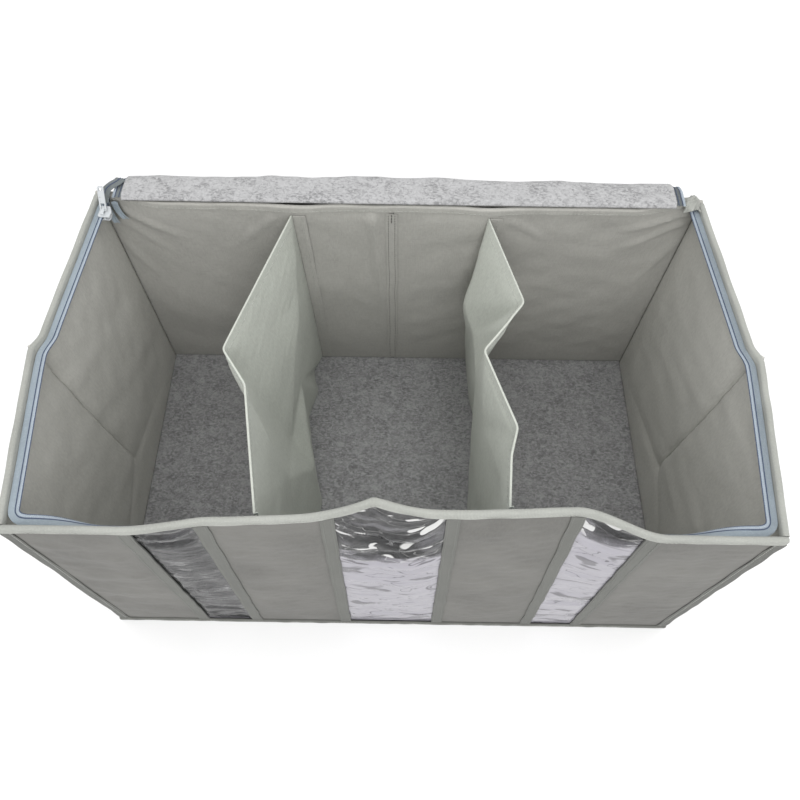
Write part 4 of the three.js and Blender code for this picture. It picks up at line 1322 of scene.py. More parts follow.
@dataclass
class SideWalls(Assembly):
    """Both side walls, creased where the empty box folds."""

    step: float = 4 * MM
    groove: float = 4.6 * MM
    groove_width: float = 3.6 * MM
    fork_z: float = 66 * MM
    fork_foot: float = 14 * MM
    fork_depth: float = 0.4
    fork_width: float = 1.6

    def build(self) -> None:
        """Makes both walls."""
        for side in Side:
            self.wall(side)

    def folds(self, y: Array, z: Array) -> Array:
        """Depth of the fold lines: one from the rim down, forking to both lower corners.

        Args:
            y: Places along the wall.
            z: Heights.

        Returns:
            The depth at each place.
        """
        fold_y = self.settling.fold_y
        depth, width = self.groove, self.groove_width
        foot = (fold_y, self.fork_z - 30 * MM)
        lines = [Crease((fold_y, self.stock.height), foot, depth, width, True, 0.7)]
        depth, width = self.fork_depth * depth, self.fork_width * width
        for end in End:
            corner = (end.value * (self.stock.half_depth - self.fork_foot), self.fork_foot)
            lines.append(Crease((fold_y, self.fork_z), corner, depth, width, True, 0.2))
        return sum(line.lift(y, z) for line in lines)

    def wall(self, side: Side) -> None:
        """Makes one wall.

        Args:
            side: Which side.
        """
        node = f"side_wall_{side.word}"
        low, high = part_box(node)
        along = (high.y, low.y) if side is Side.LEFT else (low.y, high.y)
        fold = self.settling.fold_y
        near = [fold + off * MM for off in (-5, -3, -1.5, 0, 1.5, 3, 5)]
        columns = [y for y in stations(*along, self.step, EDGE) if abs(y - fold) > 7 * MM]
        columns = sorted([*columns, *near], reverse=side is Side.LEFT)
        top = self.stock.wall_top
        y, z = np.meshgrid(columns, stations(self.stock.wall_foot, top, self.step, EDGE))
        held = smooth(np.minimum(y - low.y, high.y - y), 2 * MM, 40 * MM) * smooth(z, 6 * MM, 60 * MM)
        held *= smooth(top - z, 6 * MM, 30 * MM)
        loose = 1.8 * MM * Waves(3 + side.value, 150 * MM).at(y, z)
        loose += 0.6 * MM * Waves(13 + side.value, 42 * MM).at(y, z)
        x = self.side_x(side, y, z, self.stock.wall / 2) + side.value * (self.folds(y, z) + held * loose)
        piece = build(node + "_cloth", sheet(stack(x, y, z), self.stock.wall), crisp=70.0)
        # The side walls' inner faces take the lighter copy of the lining: painted light.
        self.face(self.dress(piece, self.palette.side_lining, node), side.out, self.palette.shell)


@dataclass
class BackWall(Assembly):
    """Two cloth panels and the seam between them, pulled into drag lines by the dividers and the lid."""

    step: float = 4 * MM
    seam_x: float = -7 * MM
    seam_width: float = 12 * MM
    drag: float = 2.1
    stitch_rows: Span = (-0.55, 0.55)

    def build(self) -> None:
        """Makes the whole wall."""
        self.panel("back_panel_left", [
            Crease.drag(-292, 286, -205, 236, 1.6, 3.4),
            Crease.drag(-290, 268, -225, 205, 1.2, 3.6),
            Crease.drag(-294, 230, -262, 150, 1.3, 4.2),
            Crease.drag(-126, 282, -178, 226, 1.0, 4.0),
            Crease.drag(-27, 294, -14, 70, 2.6, 5, 0.5),
        ])
        self.panel("back_panel_right", [
            Crease.drag(292, 284, 206, 262, 1.5, 3.4),
            Crease.drag(292, 270, 214, 228, 1.3, 3.6),
            Crease.drag(294, 240, 258, 160, 1.2, 4.2),
            Crease.drag(112, 282, 170, 240, 1.0, 4.0),
        ])
        self.seam()

    def panel(self, node: str, creases: list[Crease]) -> None:
        """Makes one panel.

        Args:
            node: The solid that it stands for.
            creases: Its drag lines.
        """
        low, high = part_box(node)
        foot, top = self.stock.wall_foot, self.stock.wall_top
        x, z = np.meshgrid(stations(high.x, low.x, self.step, EDGE), stations(foot, top, self.step, EDGE))
        held = smooth(np.minimum(x - low.x, high.x - x), 3 * MM, 30 * MM) * smooth(z, 6 * MM, 50 * MM)
        held *= smooth(top - z, 6 * MM, 22 * MM)
        loose = 1.6 * MM * Waves(int(1000 * abs(low.x)) + 2, 120 * MM).at(x, z)
        loose += 0.6 * MM * Waves(int(1000 * abs(high.x)) + 3, 34 * MM).at(x, z)
        drags = self.drag * sum(crease.lift(x, z) for crease in creases) * smooth(top - z, 4 * MM, 16 * MM)
        drags *= smooth(np.minimum(x - low.x, high.x - x), 1 * MM, 9 * MM)
        y = self.back_y(x, z, self.stock.wall / 2) - drags - held * loose
        piece = build(node + "_cloth", sheet(stack(x, y, z), self.stock.wall))
        self.face(self.dress(piece, self.palette.lining, node), End.BACK.out, self.palette.shell)

    def seam(self) -> None:
        """Makes the folded seam, with its stitches and the dark thread that shows at its top."""
        half, wall, gap = self.seam_width / 2, self.stock.wall, self.stock.gap
        inner = wall + self.stock.skin
        slot = (-gap, wall + gap)
        across, inwards = self.folded(half, wall, slot, slot, 0.4 * MM).T
        low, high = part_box("back_centre_seam")
        z = stations(low.z, high.z, 3 * MM)
        x = self.seam_x + 0.5 * MM * Waves(21, 60 * MM).at(z)
        rings = stack(x[:, None] + across, self.back_y(self.seam_x, z[:, None]) - inwards, z[:, None])
        self.dress(build("back_centre_seam_fold", tube(rings)), self.palette.lining, "back_centre_seam")
        rows = [(stack(x + share * half, self.back_y(self.seam_x, z, inner), z), End.FRONT.out)
                for share in self.stitch_rows]
        self.sew("back_centre_seam_stitches", rows, self.palette.seam_thread)
        tip = z > high.z - 17 * MM
        line = stack(x[tip], self.back_y(self.seam_x, z[tip], inner + 0.1 * MM), z[tip])
        thick_thread = Stitching(4.4 * MM, 3.8 * MM, 0.42 * MM, 0.35 * MM)
        self.sew("back_centre_seam_dark_thread", [(line, End.FRONT.out)], self.palette.dark_thread,
                 thick_thread)


@dataclass
class Bindings(Assembly):
    """Tapes on the edges of the box: rim, upright corners and bottom."""

    step: float = 3 * MM
    corner_leg: float = 9 * MM
    bottom_thick: float = 1.8 * MM
    stitch_drop: float = 6.2 * MM
    above: float = 0.1 * MM

    def build(self) -> None:
        """Makes every tape."""
        for end in End:
            self.rim(end)
            self.bottom(end)
            for side in Side:
                self.corner(side, end)
        for side in Side:
            self.rim(side)
            self.bottom(side)

    def along(self, node: str, wall: Side | End) -> Array:
        """Stations along a wall's tape, as a column of X or Y."""
        low, high = (corner[1 if isinstance(wall, Side) else 0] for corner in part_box(node))
        return stations(low, high, self.step)[:, None]

    def rim_outline(self, wall: float) -> Array:
        """A folded tape over a wall's top, as (inwards from the outer face, height).

        Args:
            wall: Thickness of the wall.

        Returns:
            Points of the outline.
        """
        skin, gap = self.stock.skin, self.stock.gap
        top, foot, slot = self.stock.height, self.stock.rim_foot, self.stock.height - self.stock.tape
        roll = (wall + 2 * skin) / 2
        turn = np.linspace(math.pi, 0.0, 9)
        crown = [(wall / 2 + roll * math.cos(a), top - roll * 0.8 + roll * 0.8 * math.sin(a)) for a in turn]
        return np.array([
            (-skin, foot), *crown, (wall + skin, foot), (wall + gap, foot),
            (wall + gap, slot), (-gap, slot), (-gap, foot),
        ])

    def tape_waves(self, seed: int, along: Array, height: Array) -> Array:
        """How a tape's free edges waver."""
        slack = smooth(self.stock.height - height, 2 * MM, self.stock.rim_height)
        return 0.35 * MM * slack * Waves(seed, 26 * MM).at(along, height * 3.0)

    def rim(self, wall: Side | End) -> None:
        """Makes the rim tape of one wall, stitched inside only where the rim's zip leaves room.

        Args:
            wall: The wall.
        """
        node = f"rim_tape_{wall.word}"
        across = isinstance(wall, End)
        thick = self.stock.front if wall is End.FRONT else self.stock.wall
        along = self.along(node, wall)
        off, z = self.rim_outline(thick).T[:, None]
        seed, rises, wavelength = (5, 0.45 * MM, 38 * MM) if across else (15, 0.5 * MM, 44 * MM)
        seed += wall.value
        off = off + np.sign(off - thick / 2) * self.tape_waves(seed, along, z)
        z = z + rises * Waves(seed + 4, wavelength).at(along)
        points = self.on_wall(wall, along, z, off)
        if not across:
            lump = 1.2 * MM * hump(along - self.settling.fold_y, 7 * MM)
            points[..., 0] += wall.value * lump * smooth(z, 290 * MM, 300 * MM)
        finish = self.palette.lining if wall is End.BACK else self.palette.tape
        self.dress(build(node + "_binding", tube(points)), finish, node)
        height, skin = self.stock.height - self.stitch_drop, self.stock.skin + self.above
        faces = ((-skin, 1.0), (thick + skin, -1.0))[:2 if across else 1]
        rows = [(self.on_wall(wall, along[2:-2, 0], height, depth), way * np.array(wall.out))
                for depth, way in faces]
        self.sew(node + "_stitches", rows, self.palette.thread)

    def corner(self, side: Side, end: End) -> None:
        """Makes one upright corner tape.

        Args:
            side: Left or right.
            end: Front or back.
        """
        node = f"corner_tape_{end.word}_{side.word}"
        skin, gap, leg = self.stock.skin, self.stock.gap, self.corner_leg
        half_width, half_depth = self.stock.half_width, self.stock.half_depth
        corners = [(skin, skin), (skin, -leg), (gap, -leg), (gap, gap), (-leg, gap), (-leg, skin)]
        out_x, out_y = rounded(corners, 0.9 * MM, 3).T
        z = stations(self.stock.tapes_from, self.stock.tapes_to, self.step)[:, None]
        waver = 0.3 * MM * Waves(30 + 2 * side.value + end.value, 40 * MM).at(z)
        x = side.value * (half_width + out_x + waver)
        y = end.value * (half_depth + out_y + waver)
        x = x + side.value * self.settling.side(np.clip(y, -half_depth, half_depth), z)
        y = y + (self.settling.front(x, z) if end is End.FRONT else -self.settling.back(x, z))
        self.dress(build(node + "_binding", tube(stack(x, y, z))), self.palette.window_tape, node)
        z = z[:, 0]
        x, y = side.value * (half_width - 0.66 * leg), end.value * (half_depth - 0.66 * leg)
        across = stack(x, end.value * (half_depth + skin), z)
        along = stack(side.value * (half_width + skin + self.settling.side(y, z)), y, z)
        self.sew(node + "_stitches", [(across, end.out), (along, side.out)], self.palette.thread)

    def bottom_outline(self) -> Array:
        """A rolled tape, as (outwards from the face, height)."""
        back, thick, tall = self.stock.gap, self.bottom_thick, self.stock.bottom_height
        turn = np.linspace(-math.pi / 2, math.pi / 2, 9)
        roll = [(back + thick * (0.35 + 0.65 * math.cos(a)), tall / 2 + tall / 2 * math.sin(a)) for a in turn]
        return np.array([(back, 0.0), *roll[1:-1], (back, tall), (back, tall / 2)])

    def bottom(self, wall: Side | End) -> None:
        """Makes the bottom tape of one wall, with stitches at the front and the back.

        Args:
            wall: The wall.
        """
        node = f"bottom_tape_{wall.word}"
        across = isinstance(wall, End)
        half_width, half_depth, gap = self.stock.half_width, self.stock.half_depth, self.stock.gap
        along = self.along(node, wall)
        out, z = self.bottom_outline().T[:, None]
        seed = (50 if across else 60) + wall.value
        out = np.maximum(gap, out * (1.0 + 0.14 * Waves(seed, 30 * MM).at(along)))
        if across:
            z = z * (1.0 + 0.05 * Waves(seed + 5, 46 * MM).at(along))
            points = stack(along, wall.value * (half_depth + out), z)
        else:
            points = stack(wall.value * (half_width + out + self.settling.side(along, z)), along, z)
        self.dress(build(node + "_binding", tube(points)), self.palette.window_tape, node)
        if across:
            y = wall.value * (half_depth + gap + 0.8 * self.bottom_thick)
            line = stack(along[2:-2, 0], y, 0.7 * self.stock.bottom_height)
            self.sew(node + "_stitches", [(line, (0.0, float(wall.value), 0.3))], self.palette.thread)


@dataclass
class RimZip(Assembly):
    """The chain of the zip round the left, front and right of the rim, and the slider on it."""

    drop: float = 4.6 * MM
    tape_width: float = 7 * MM
    tape_thick: float = 0.9 * MM
    corner_radius: float = 14 * MM
    droop: float = math.radians(72)
    droop_ease: float = 60 * MM
    tooth_pitch: float = 1.45 * MM

    def build(self) -> None:
        """Makes the chain, its tails and the slider's finish."""
        path = self.path(3 * MM)
        reach = np.array([0.6, 1.2, 2.6, 4.2, 5.6, 6.6, 7.0]) * MM
        wave = 0.35 * MM * Waves(61, 40 * MM).at(path[0] + path[1])[:, None]
        tape = sheet(self.place(path, reach, wave * np.sin(reach / reach[-1] * 3)), 0.65 * MM)
        self.dress(build("box_zip_tape", tape), self.palette.zip_tape, "box_zip_chain")
        self.coil()
        self.threads(path)
        self.tails()
        for node in ("zip_slider", "zip_pull"):
            self.keep(node, self.palette.paint, 0.22 * MM)

    @property
    def side_x(self) -> float:
        """X of the seam along the sides."""
        return self.stock.half_width - self.stock.wall - self.stock.skin

    @property
    def seam_y(self) -> float:
        """Y of the seam along the front."""
        return -self.stock.half_depth + self.stock.front + self.stock.skin

    @property
    def zip_z(self) -> float:
        """Height of the middle of the tape."""
        return self.stock.height - self.drop - self.tape_thick / 2

    def path(self, step: float) -> Path:
        """Plan path down the left, along the front and up the right, with its directions.

        Args:
            step: About how far apart the stations are.

        Returns:
            X and Y of the stations, and X and Y of the direction at each.
        """
        side, front, radius = self.side_x, self.seam_y, self.corner_radius
        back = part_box("box_zip_chain")[1].y
        turn = np.linspace(math.pi, 1.5 * math.pi, 10)[1:-1]
        left = stations(back, front + radius, step)
        across = stations(-side + radius, side - radius, step)
        x = np.concatenate([
            0 * left - side, -side + radius + radius * np.cos(turn), across,
            side - radius + radius * np.cos(turn + math.pi / 2), 0 * left + side])
        y = np.concatenate([
            left, front + radius + radius * np.sin(turn), 0 * across + front,
            front + radius + radius * np.sin(turn + math.pi / 2), left[::-1]])
        ways = unit(np.gradient(np.stack([x, y], axis=1), axis=0))
        return x, y, ways[:, 0], ways[:, 1]

    def place(self, path: Path, reach: Array | float, height: Array | float) -> Array:
        """Where points of the chain lie.

        Args:
            path: Stations of its seam and their directions.
            reach: How far the points are from the seam.
            height: How far they are off the tape.

        Returns:
            The points, with a row for each station.
        """
        px, py, ax, ay = (part[:, None] for part in path)
        x, y, height = np.broadcast_arrays(px - ay * reach, py + ax * reach, height)
        droops_to = self.side_x - self.corner_radius
        inward = y - self.seam_y
        in_front = (inward < self.stock.chain_width + self.stock.gap) & (np.abs(x) < droops_to)
        angle = self.droop * smooth(droops_to - np.abs(x), 0.0, self.droop_ease)
        clear = height + self.tape_thick / 2 + self.stock.gap
        turned_y = self.seam_y + inward * np.cos(angle) + clear * np.sin(angle)
        turned_z = height * np.cos(angle) - inward * np.sin(angle)
        y = np.where(in_front, turned_y, y)
        z = np.where(in_front, turned_z, height) + self.zip_z
        on_rim = smooth(np.abs(x), droops_to, self.side_x - self.stock.chain_width)
        x = x + np.sign(x) * on_rim * self.settling.side(y, z)
        y = y + np.where(in_front, self.settling.front(x, z), 0.0)
        return np.stack([x, y, z], axis=-1)

    def coil(self) -> None:
        """Makes the nylon coil: a bar for each turn, over a core."""
        path = self.path(self.tooth_pitch)
        near, far = self.tape_width - 0.3 * MM, self.stock.chain_width - 0.35 * MM
        inner, outer, above = (
            self.place(path, *spot)[:, 0]
            for spot in ((near, 0.25 * MM), (far, 0.25 * MM), (far, 1.25 * MM)))
        teeth = ZIP_TEETH.shell(inner, outer, unit(above - outer))
        turn = around(6)
        across = (near + far) / 2 + 0.9 * (far - near) / 2 * np.cos(turn)
        core = self.place(tuple(part[::2] for part in path), across, 0.62 * MM * np.sin(turn))
        self.dress(build("box_zip_coil", teeth, tube(core)), self.palette.coil)

    def threads(self, path: Path) -> None:
        """Makes the two dark lines that run along the coil: the inner one is its sewing thread, the outer one
        at the coil's free edge is painted shade.

        Args:
            path: Stations of the chain's seam and their directions.
        """
        turn = around(6)
        # The line at 6.3 mm is the coil's sewing thread; the one at 9.45 mm, under the coil's free edge, is
        # painted shade.
        shells = [
            tube(self.place(path, middle + THREAD * np.cos(turn), height + THREAD * np.sin(turn)))
            for middle, height in ((6.3 * MM, 0.45 * MM), (9.45 * MM, 0.0))]
        self.dress(build("box_zip_dark_threads", *shells), self.palette.zip_thread)

    def tails(self) -> None:
        """Makes the two loose tape ends that hang inside the rear left corner."""
        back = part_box("box_zip_chain")[1].y
        for number, x0, length, lean in ((1, -291 * MM, 25 * MM, 4 * MM), (2, -283 * MM, 19 * MM, 7 * MM)):
            share = np.linspace(0.0, 1.0, 9)[:, None]
            across = np.linspace(-3.2 * MM, 3.2 * MM, 5)[None, :]
            x = x0 + across + lean * share**2
            y = back - 3 * MM - 5 * MM * np.sin(share * 1.4) + 0.6 * MM * np.cos(across / MM)
            z = self.zip_z - 1.2 * MM - length * (share**1.2) + 0 * across
            tail = sheet(stack(x, y, z), 0.6 * MM)
            self.dress(build(f"box_zip_tail_{number}", tail), self.palette.zip_tape)


@dataclass(frozen=True)
class Folding:
    """A hanging cloth that is creased into flat facets between knots."""

    knots: tuple[Place, ...]
    creases: tuple[tuple[int, int], ...]
    span: float = 335 * MM

    def lean(self, share: Array, z: Array) -> Array:
        """Sideways lean at shares of the depth and heights, flat between three knots each.

        Args:
            share: Shares of the box's depth, from the back.
            z: Heights.

        Returns:
            The lean at each point.
        """
        places = [Vector((at * self.span, height * MM)) for at, height, _ in self.knots]
        where, _, facets, sources, _, _ = delaunay_2d_cdt(places, list(self.creases), [], 0, 1e-7)
        u, lean = share * self.span, np.zeros(np.shape(z))
        for facet in facets:
            (ax, ay), (bx, by), (cx, cy) = (where[corner] for corner in facet)
            first, second, third = (self.knots[sources[corner][0]][2] * MM for corner in facet)
            area = (bx - ax) * (cy - ay) - (cx - ax) * (by - ay)
            near_b = ((u - ax) * (cy - ay) - (cx - ax) * (z - ay)) / area
            near_c = ((bx - ax) * (z - ay) - (u - ax) * (by - ay)) / area
            near_a = 1.0 - near_b - near_c
            inside = np.minimum(near_a, np.minimum(near_b, near_c)) > -1e-4
            lean = np.where(inside, near_a * first + near_b * second + near_c * third, lean)
        return lean


@dataclass
class Dividers(Assembly):
    """Two hanging cloth dividers, each with a hem and a sewn tab at each end."""

    top: float = 288 * MM
    foot: float = 7.6 * MM
    thick: float = 1.4 * MM
    hem: float = 9 * MM
    hem_thick: float = 1.8 * MM
    tab_width: float = 13 * MM
    tab_thick: float = 1.2 * MM
    tab_tucked: float = 2 * MM
    zip_room: float = 7.23 * MM
    tuck_from: float = 271.6 * MM
    tuck_to: float = 282.6 * MM
    sag: float = 2 * MM
    step: float = 2.5 * MM

    def build(self) -> None:
        """Makes both dividers."""
        left_x, right_x = self.settling.tugs_at
        self.divider("left", left_x, Folding((
            (0, 289, -4), (0.505, 289, -52), (0.62, 289, -28), (1, 289, -6),
            (0, 7, 2), (0.065, 7, -8), (0.157, 7, 0), (0.27, 7, -9), (0.415, 7, -1), (0.54, 7, 9),
            (0.6, 7, 15), (0.8, 7, 10), (1, 7, 2),
            (0.14, 199, -4), (0.284, 106, -8), (0.5, 104, -14), (0.54, 60, 10), (0.68, 140, -6),
            (0.93, 271, -10),
        ), ((0, 13), (13, 14), (14, 15), (15, 16), (16, 17), (17, 18))))
        self.divider("right", right_x, Folding((
            (0, 289, 1), (0.34, 289, 30), (0.4, 289, 16), (0.51, 289, -10), (0.765, 289, 15),
            (0.85, 289, 8), (1, 289, 4),
            (0, 7, 2), (0.19, 7, 5), (0.355, 7, 17), (0.49, 7, 7), (0.61, 7, -2), (0.8, 7, -3), (1, 7, 0),
            (0.14, 200, -18), (0.24, 188, -7), (0.37, 182, -6), (0.6, 204, -4), (0.82, 242, 5), (1, 262, 2),
        ), ((0, 14), (14, 15), (15, 2), (15, 16), (16, 3), (16, 17), (17, 18), (18, 19))))

    def inner_y(self, end: End, x: Array, z: Array, off: float = 0.0) -> Array:
        """Y of the inner face of the front or back wall, with room for the zip under the front rim.

        Args:
            end: Front or back.
            x: Places along the wall.
            z: Heights.
            off: How far into the box from the face.

        Returns:
            The Y of each place.
        """
        if end is End.BACK:
            return self.back_y(x, z, self.stock.wall + self.stock.gap + off)
        tucked = smooth(z, self.tuck_from, self.tuck_to)
        return self.front_y(x, z, self.stock.front + self.stock.gap + off) + tucked * self.zip_room

    def surface(self, x0: float, folding: Folding) -> tuple[Array, Array]:
        """Middle of a divider's cloth.

        Args:
            x0: X that it leans from.
            folding: How it hangs.

        Returns:
            Grid of points with a row for each height, and the heights.
        """
        span = 2 * self.stock.half_depth
        along = stations(0.0, 1.0, self.step / span, 1.2 * MM / span)
        ledge = self.top - self.hem
        z = np.concatenate([
            stations(self.foot, ledge - 0.4 * MM, self.step),
            stations(ledge + 0.4 * MM, self.top - 1.1 * MM, self.step),
            [self.top - 0.35 * MM, self.top]])
        held = smooth(np.minimum(along, 1.0 - along) * span, 2 * MM, 26 * MM)[None, :]
        share, zz = np.meshgrid(along, z)
        lean = folding.lean(share, zz)
        for _ in range(2):
            lean[:, 1:-1] = (lean[:, :-2] + 2.0 * lean[:, 1:-1] + lean[:, 2:]) / 4.0
            lean[1:-3] = (lean[:-4] + 2.0 * lean[1:-3] + lean[2:-2]) / 4.0
        seed = int(abs(x0) * 1e4)
        loose = 0.7 * MM * Waves(seed, 70 * MM).at(share * span, zz)
        loose += 0.2 * MM * Waves(seed + 1, 17 * MM).at(share * span, zz)
        x = x0 + lean + held * smooth(self.top - zz, 4 * MM, 3 * self.hem) * loose
        back, front = self.inner_y(End.BACK, x, zz), self.inner_y(End.FRONT, x, zz)
        sag = self.sag * np.sin(math.pi * along)[None, :] * zz / self.stock.height
        return stack(x, back + (front - back) * along[None, :], zz - sag), z

    def divider(self, name: str, x0: float, folding: Folding) -> None:
        """Makes one divider with its hem stitches and its tabs.

        Args:
            name: Which divider.
            x0: X that it leans from.
            folding: How it hangs.
        """
        points, z = self.surface(x0, folding)
        ledge = self.top - self.hem
        thick = np.where(z > ledge, self.hem_thick, self.thick)[:, None] + 0 * points[..., 0]
        thick[-1] *= 0.3
        piece = build(f"divider_{name}_cloth", sheet(points, thick, 0.7), crisp=40.0)
        self.dress(piece, self.palette.divider, f"divider_{name}")
        row = int(np.argmin(np.abs(z - (ledge + 1.6 * MM))))
        line, normals = points[row, 3:-3], facing(points)[row, 3:-3]
        off = self.hem_thick / 2 + 0.05 * MM
        rows = [(line + side * normals * off, side * normals) for side in (-1.0, 1.0)]
        stitches = self.sew(f"divider_{name}_hem_stitches", rows, self.palette.thread, LONG_STITCHES)
        tabs = [self.tab(name, end, points, z) for end in End]

    def tab(self, name: str, end: End, points: Array, z: Array) -> Piece:
        """Makes the tab that is sewn flat to the front or back wall.

        Args:
            name: Which divider.
            end: Front or back.
            points: Grid of the divider's points.
            z: Height of each row of them.

        Returns:
            The tab.
        """
        at_back = end is End.BACK
        edge = points[:, 0 if at_back else -1]
        narrow = smooth(z, self.tuck_from, self.tuck_to) * (self.tab_width - self.tab_tucked)
        width = self.tab_width - (0.0 if at_back else 1.0) * narrow
        share = np.array([0.0, 0.1, 0.35, 0.65, 0.9, 1.0])[None, :]
        x = edge[:, None, 0] + self.thick / 2 + 0.25 * MM + width[:, None] * share
        zz = z[:, None] + 0.6 * MM * share * Waves(77, 30 * MM).at(x, z[:, None])
        y = self.inner_y(end, x, zz, self.tab_thick / 2 + 0.1 * MM)
        grid = stack(x, y, zz)
        line = stack(x[:, 3], y[:, 3] - end.value * 0.62 * MM, zz[:, 3])
        finish = self.palette.lining if at_back else self.palette.divider
        cloth = sheet(grid[:, ::-1] if at_back else grid, 0.8 * self.tab_thick)
        tab = self.dress(build(f"divider_{name}_tab_{end.word}", cloth), finish)
        inwards = (0.0, -float(end.value), 0.0)
        stitches = self.sew(f"divider_{name}_tab_{end.word}_stitches", [(line, inwards)], self.palette.thread)
        stitches.parent = tab
        return tab


@dataclass
class Floor(Assembly):
    """The felt on the floor, and the base panel under it."""

    felt: float = 4 * MM
    step: float = 5 * MM

    def build(self) -> None:
        """Makes the felt and dresses the base."""
        low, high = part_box("floor_felt")
        edge = 1.2 * MM
        x, y = np.meshgrid(stations(low.x, high.x, self.step, edge), stations(low.y, high.y, self.step, edge))
        z = (low.z + high.z) / 2 + 0.22 * MM * (1.0 + Waves(91, 90 * MM).at(x, y))
        piece = build("floor_felt_mat", sheet(stack(x, y, z), self.felt))
        self.dress(piece, self.palette.floor, "floor_felt")
        self.keep("base_panel", self.palette.shell, 0.8 * MM)


@dataclass
class Lid(Assembly):
    """The lid, thrown back: it rolls over the rear rim and hangs down behind the box."""

    hinge_y: float = 161.5 * MM
    hinge_z: float = 303.35 * MM
    tilt: float = math.radians(2)
    roll_radius: float = 6.5 * MM
    half_width: float = 272.2 * MM
    corner_radius: float = 14 * MM
    felt_off: float = 1.85 * MM
    felt_thick: float = 2.2 * MM
    felt_from: float = -1.2 * MM
    cover_off: float = -1.5 * MM
    cover_thick: float = 1.5 * MM
    cover_from: float = 4.4 * MM
    tape_thick: float = 0.65 * MM
    tape_width: float = 7 * MM
    tooth_pitch: float = 1.45 * MM
    arch_in: float = 6.5 * MM
    arch_down: float = 2 * MM
    waves: Place = (3.4 * MM, 1.2 * MM, 1.2 * MM)
    rests: float = 0.4 * MM
    stitch_inset: float = 3.2 * MM
    step: float = 5 * MM

    def __post_init__(self) -> None:
        """Works out the bend and the length of the lid from its hanging solid."""
        low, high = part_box("lid_board")
        self.hang_y = (low.y + high.y) / 2
        self.start = np.array([self.hinge_y, self.hinge_z])
        self.way = np.array([math.cos(self.tilt), math.sin(self.tilt)])
        corner_at = (self.hang_y - self.hinge_y) / self.way[0]
        corner_z = self.hinge_z + corner_at * self.way[1]
        turn = math.pi / 2 + self.tilt
        cut = self.roll_radius * math.tan(turn / 2)
        self.bend_from = corner_at - cut
        self.bend_to = self.bend_from + self.roll_radius * turn
        self.bend_z = corner_z - cut
        self.length = self.bend_to + self.bend_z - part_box("lid_felt")[0].z
        self.board_from = max(self.bend_to + 1 * MM, self.bend_to + self.bend_z - high.z - 3 * MM)

    def at(self, x: Array, t: Array, off: float = 0.0) -> Array:
        """Where a point of the lid is.

        Args:
            x: X on the lid.
            t: Distance from the rear rim along the lid.
            off: Distance from the lid's middle, to the felt side.

        Returns:
            Points.
        """
        x, t = np.broadcast_arrays(np.asarray(x, float), np.asarray(t, float))
        turned = np.clip((t - self.bend_from) / self.roll_radius, 0.0, math.pi / 2 + self.tilt)
        heading = self.tilt - turned
        flat = np.minimum(t, self.bend_from)
        radius = self.roll_radius + off
        before, after = t <= self.bend_from, t >= self.bend_to
        y = np.where(before, self.start[0] + self.way[0] * flat - np.sin(self.tilt) * off,
                     self.hang_y - self.roll_radius - radius * np.sin(heading))
        z = np.where(before, self.start[1] + self.way[1] * flat + np.cos(self.tilt) * off,
                     self.bend_z + radius * np.cos(heading))
        y = np.where(after, self.hang_y + off, y)
        z = np.where(after, self.bend_z - (t - self.bend_to), z)
        loose = smooth(t, 4 * MM, self.bend_from) * (1.0 - smooth(t, self.bend_to - 8 * MM, self.board_from))
        long, short, tall = self.waves
        far = long * Waves(101, 105 * MM).at(x) + short * Waves(102, 34 * MM).at(x)
        high = loose * tall * Waves(103, 80 * MM).at(x)
        arch = loose * np.clip(np.abs(x) / self.half_width, 0.0, 1.0) ** 2.5
        y = y + loose * far - self.arch_in * arch
        return stack(x, y, z + np.maximum(high, -self.rests) - self.arch_down * arch)

    def build(self) -> None:
        """Makes every layer of the lid."""
        self.hinge_strip()
        self.layer("lid_felt_lining", self.palette.lid, self.felt_off, self.felt_thick, self.felt_from,
                   "lid_rear_felt", "lid_felt")
        self.layer("lid_cover_cloth", self.palette.shell, self.cover_off, self.cover_thick, self.cover_from,
                   "lid_rear_cover", "lid_cover")
        self.chain()
        self.lead()
        self.tuft()
        self.keep("lid_board", self.palette.board)

    def across_bend(self, piece: Piece) -> None:
        """Applies the piece's placement to its mesh, leaving it on no body."""
        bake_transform(piece)

    def half_at(self, t: Array) -> Array:
        """Half of the lid's width at a distance from the rim, with its round front corners."""
        past = np.clip(t - (self.length - self.corner_radius), 0.0, self.corner_radius)
        return self.half_width - self.corner_radius + np.sqrt(self.corner_radius**2 - past**2)

    def rows(self, start: float) -> Array:
        """Distances from the rim at which the lid's layers have points, closer together in the bend.

        Args:
            start: The first of them.

        Returns:
            The distances.
        """
        bend = np.linspace(self.bend_from, self.bend_to, 9)
        first = stations(start, self.bend_from, 2.5 * MM)
        last = stations(self.bend_to, self.length - self.corner_radius, self.step)
        turn = np.linspace(0.0, math.pi / 2, 7)[1:]
        corner = self.length - self.corner_radius + self.corner_radius * np.sin(turn)
        return np.concatenate([first[:1], [start + 0.8 * MM], first[1:-1], bend, last[1:], corner])

    def outward(self, line: Array, side: float) -> Array:
        """Directions out of one face of the lid.

        Args:
            line: Points of a line on the face.
            side: 1 for the felt side, -1 for the cover.

        Returns:
            A direction for each point.
        """
        out = np.cross((1.0, 0.0, 0.0), np.gradient(line, axis=0))
        out = unit(out) if np.abs(out).sum() > 1e-6 else np.zeros_like(out) + (0.0, side, 0.0)
        return out * np.where(out[:, 1] + out[:, 2] < 0, -1.0, 1.0)[:, None] * side

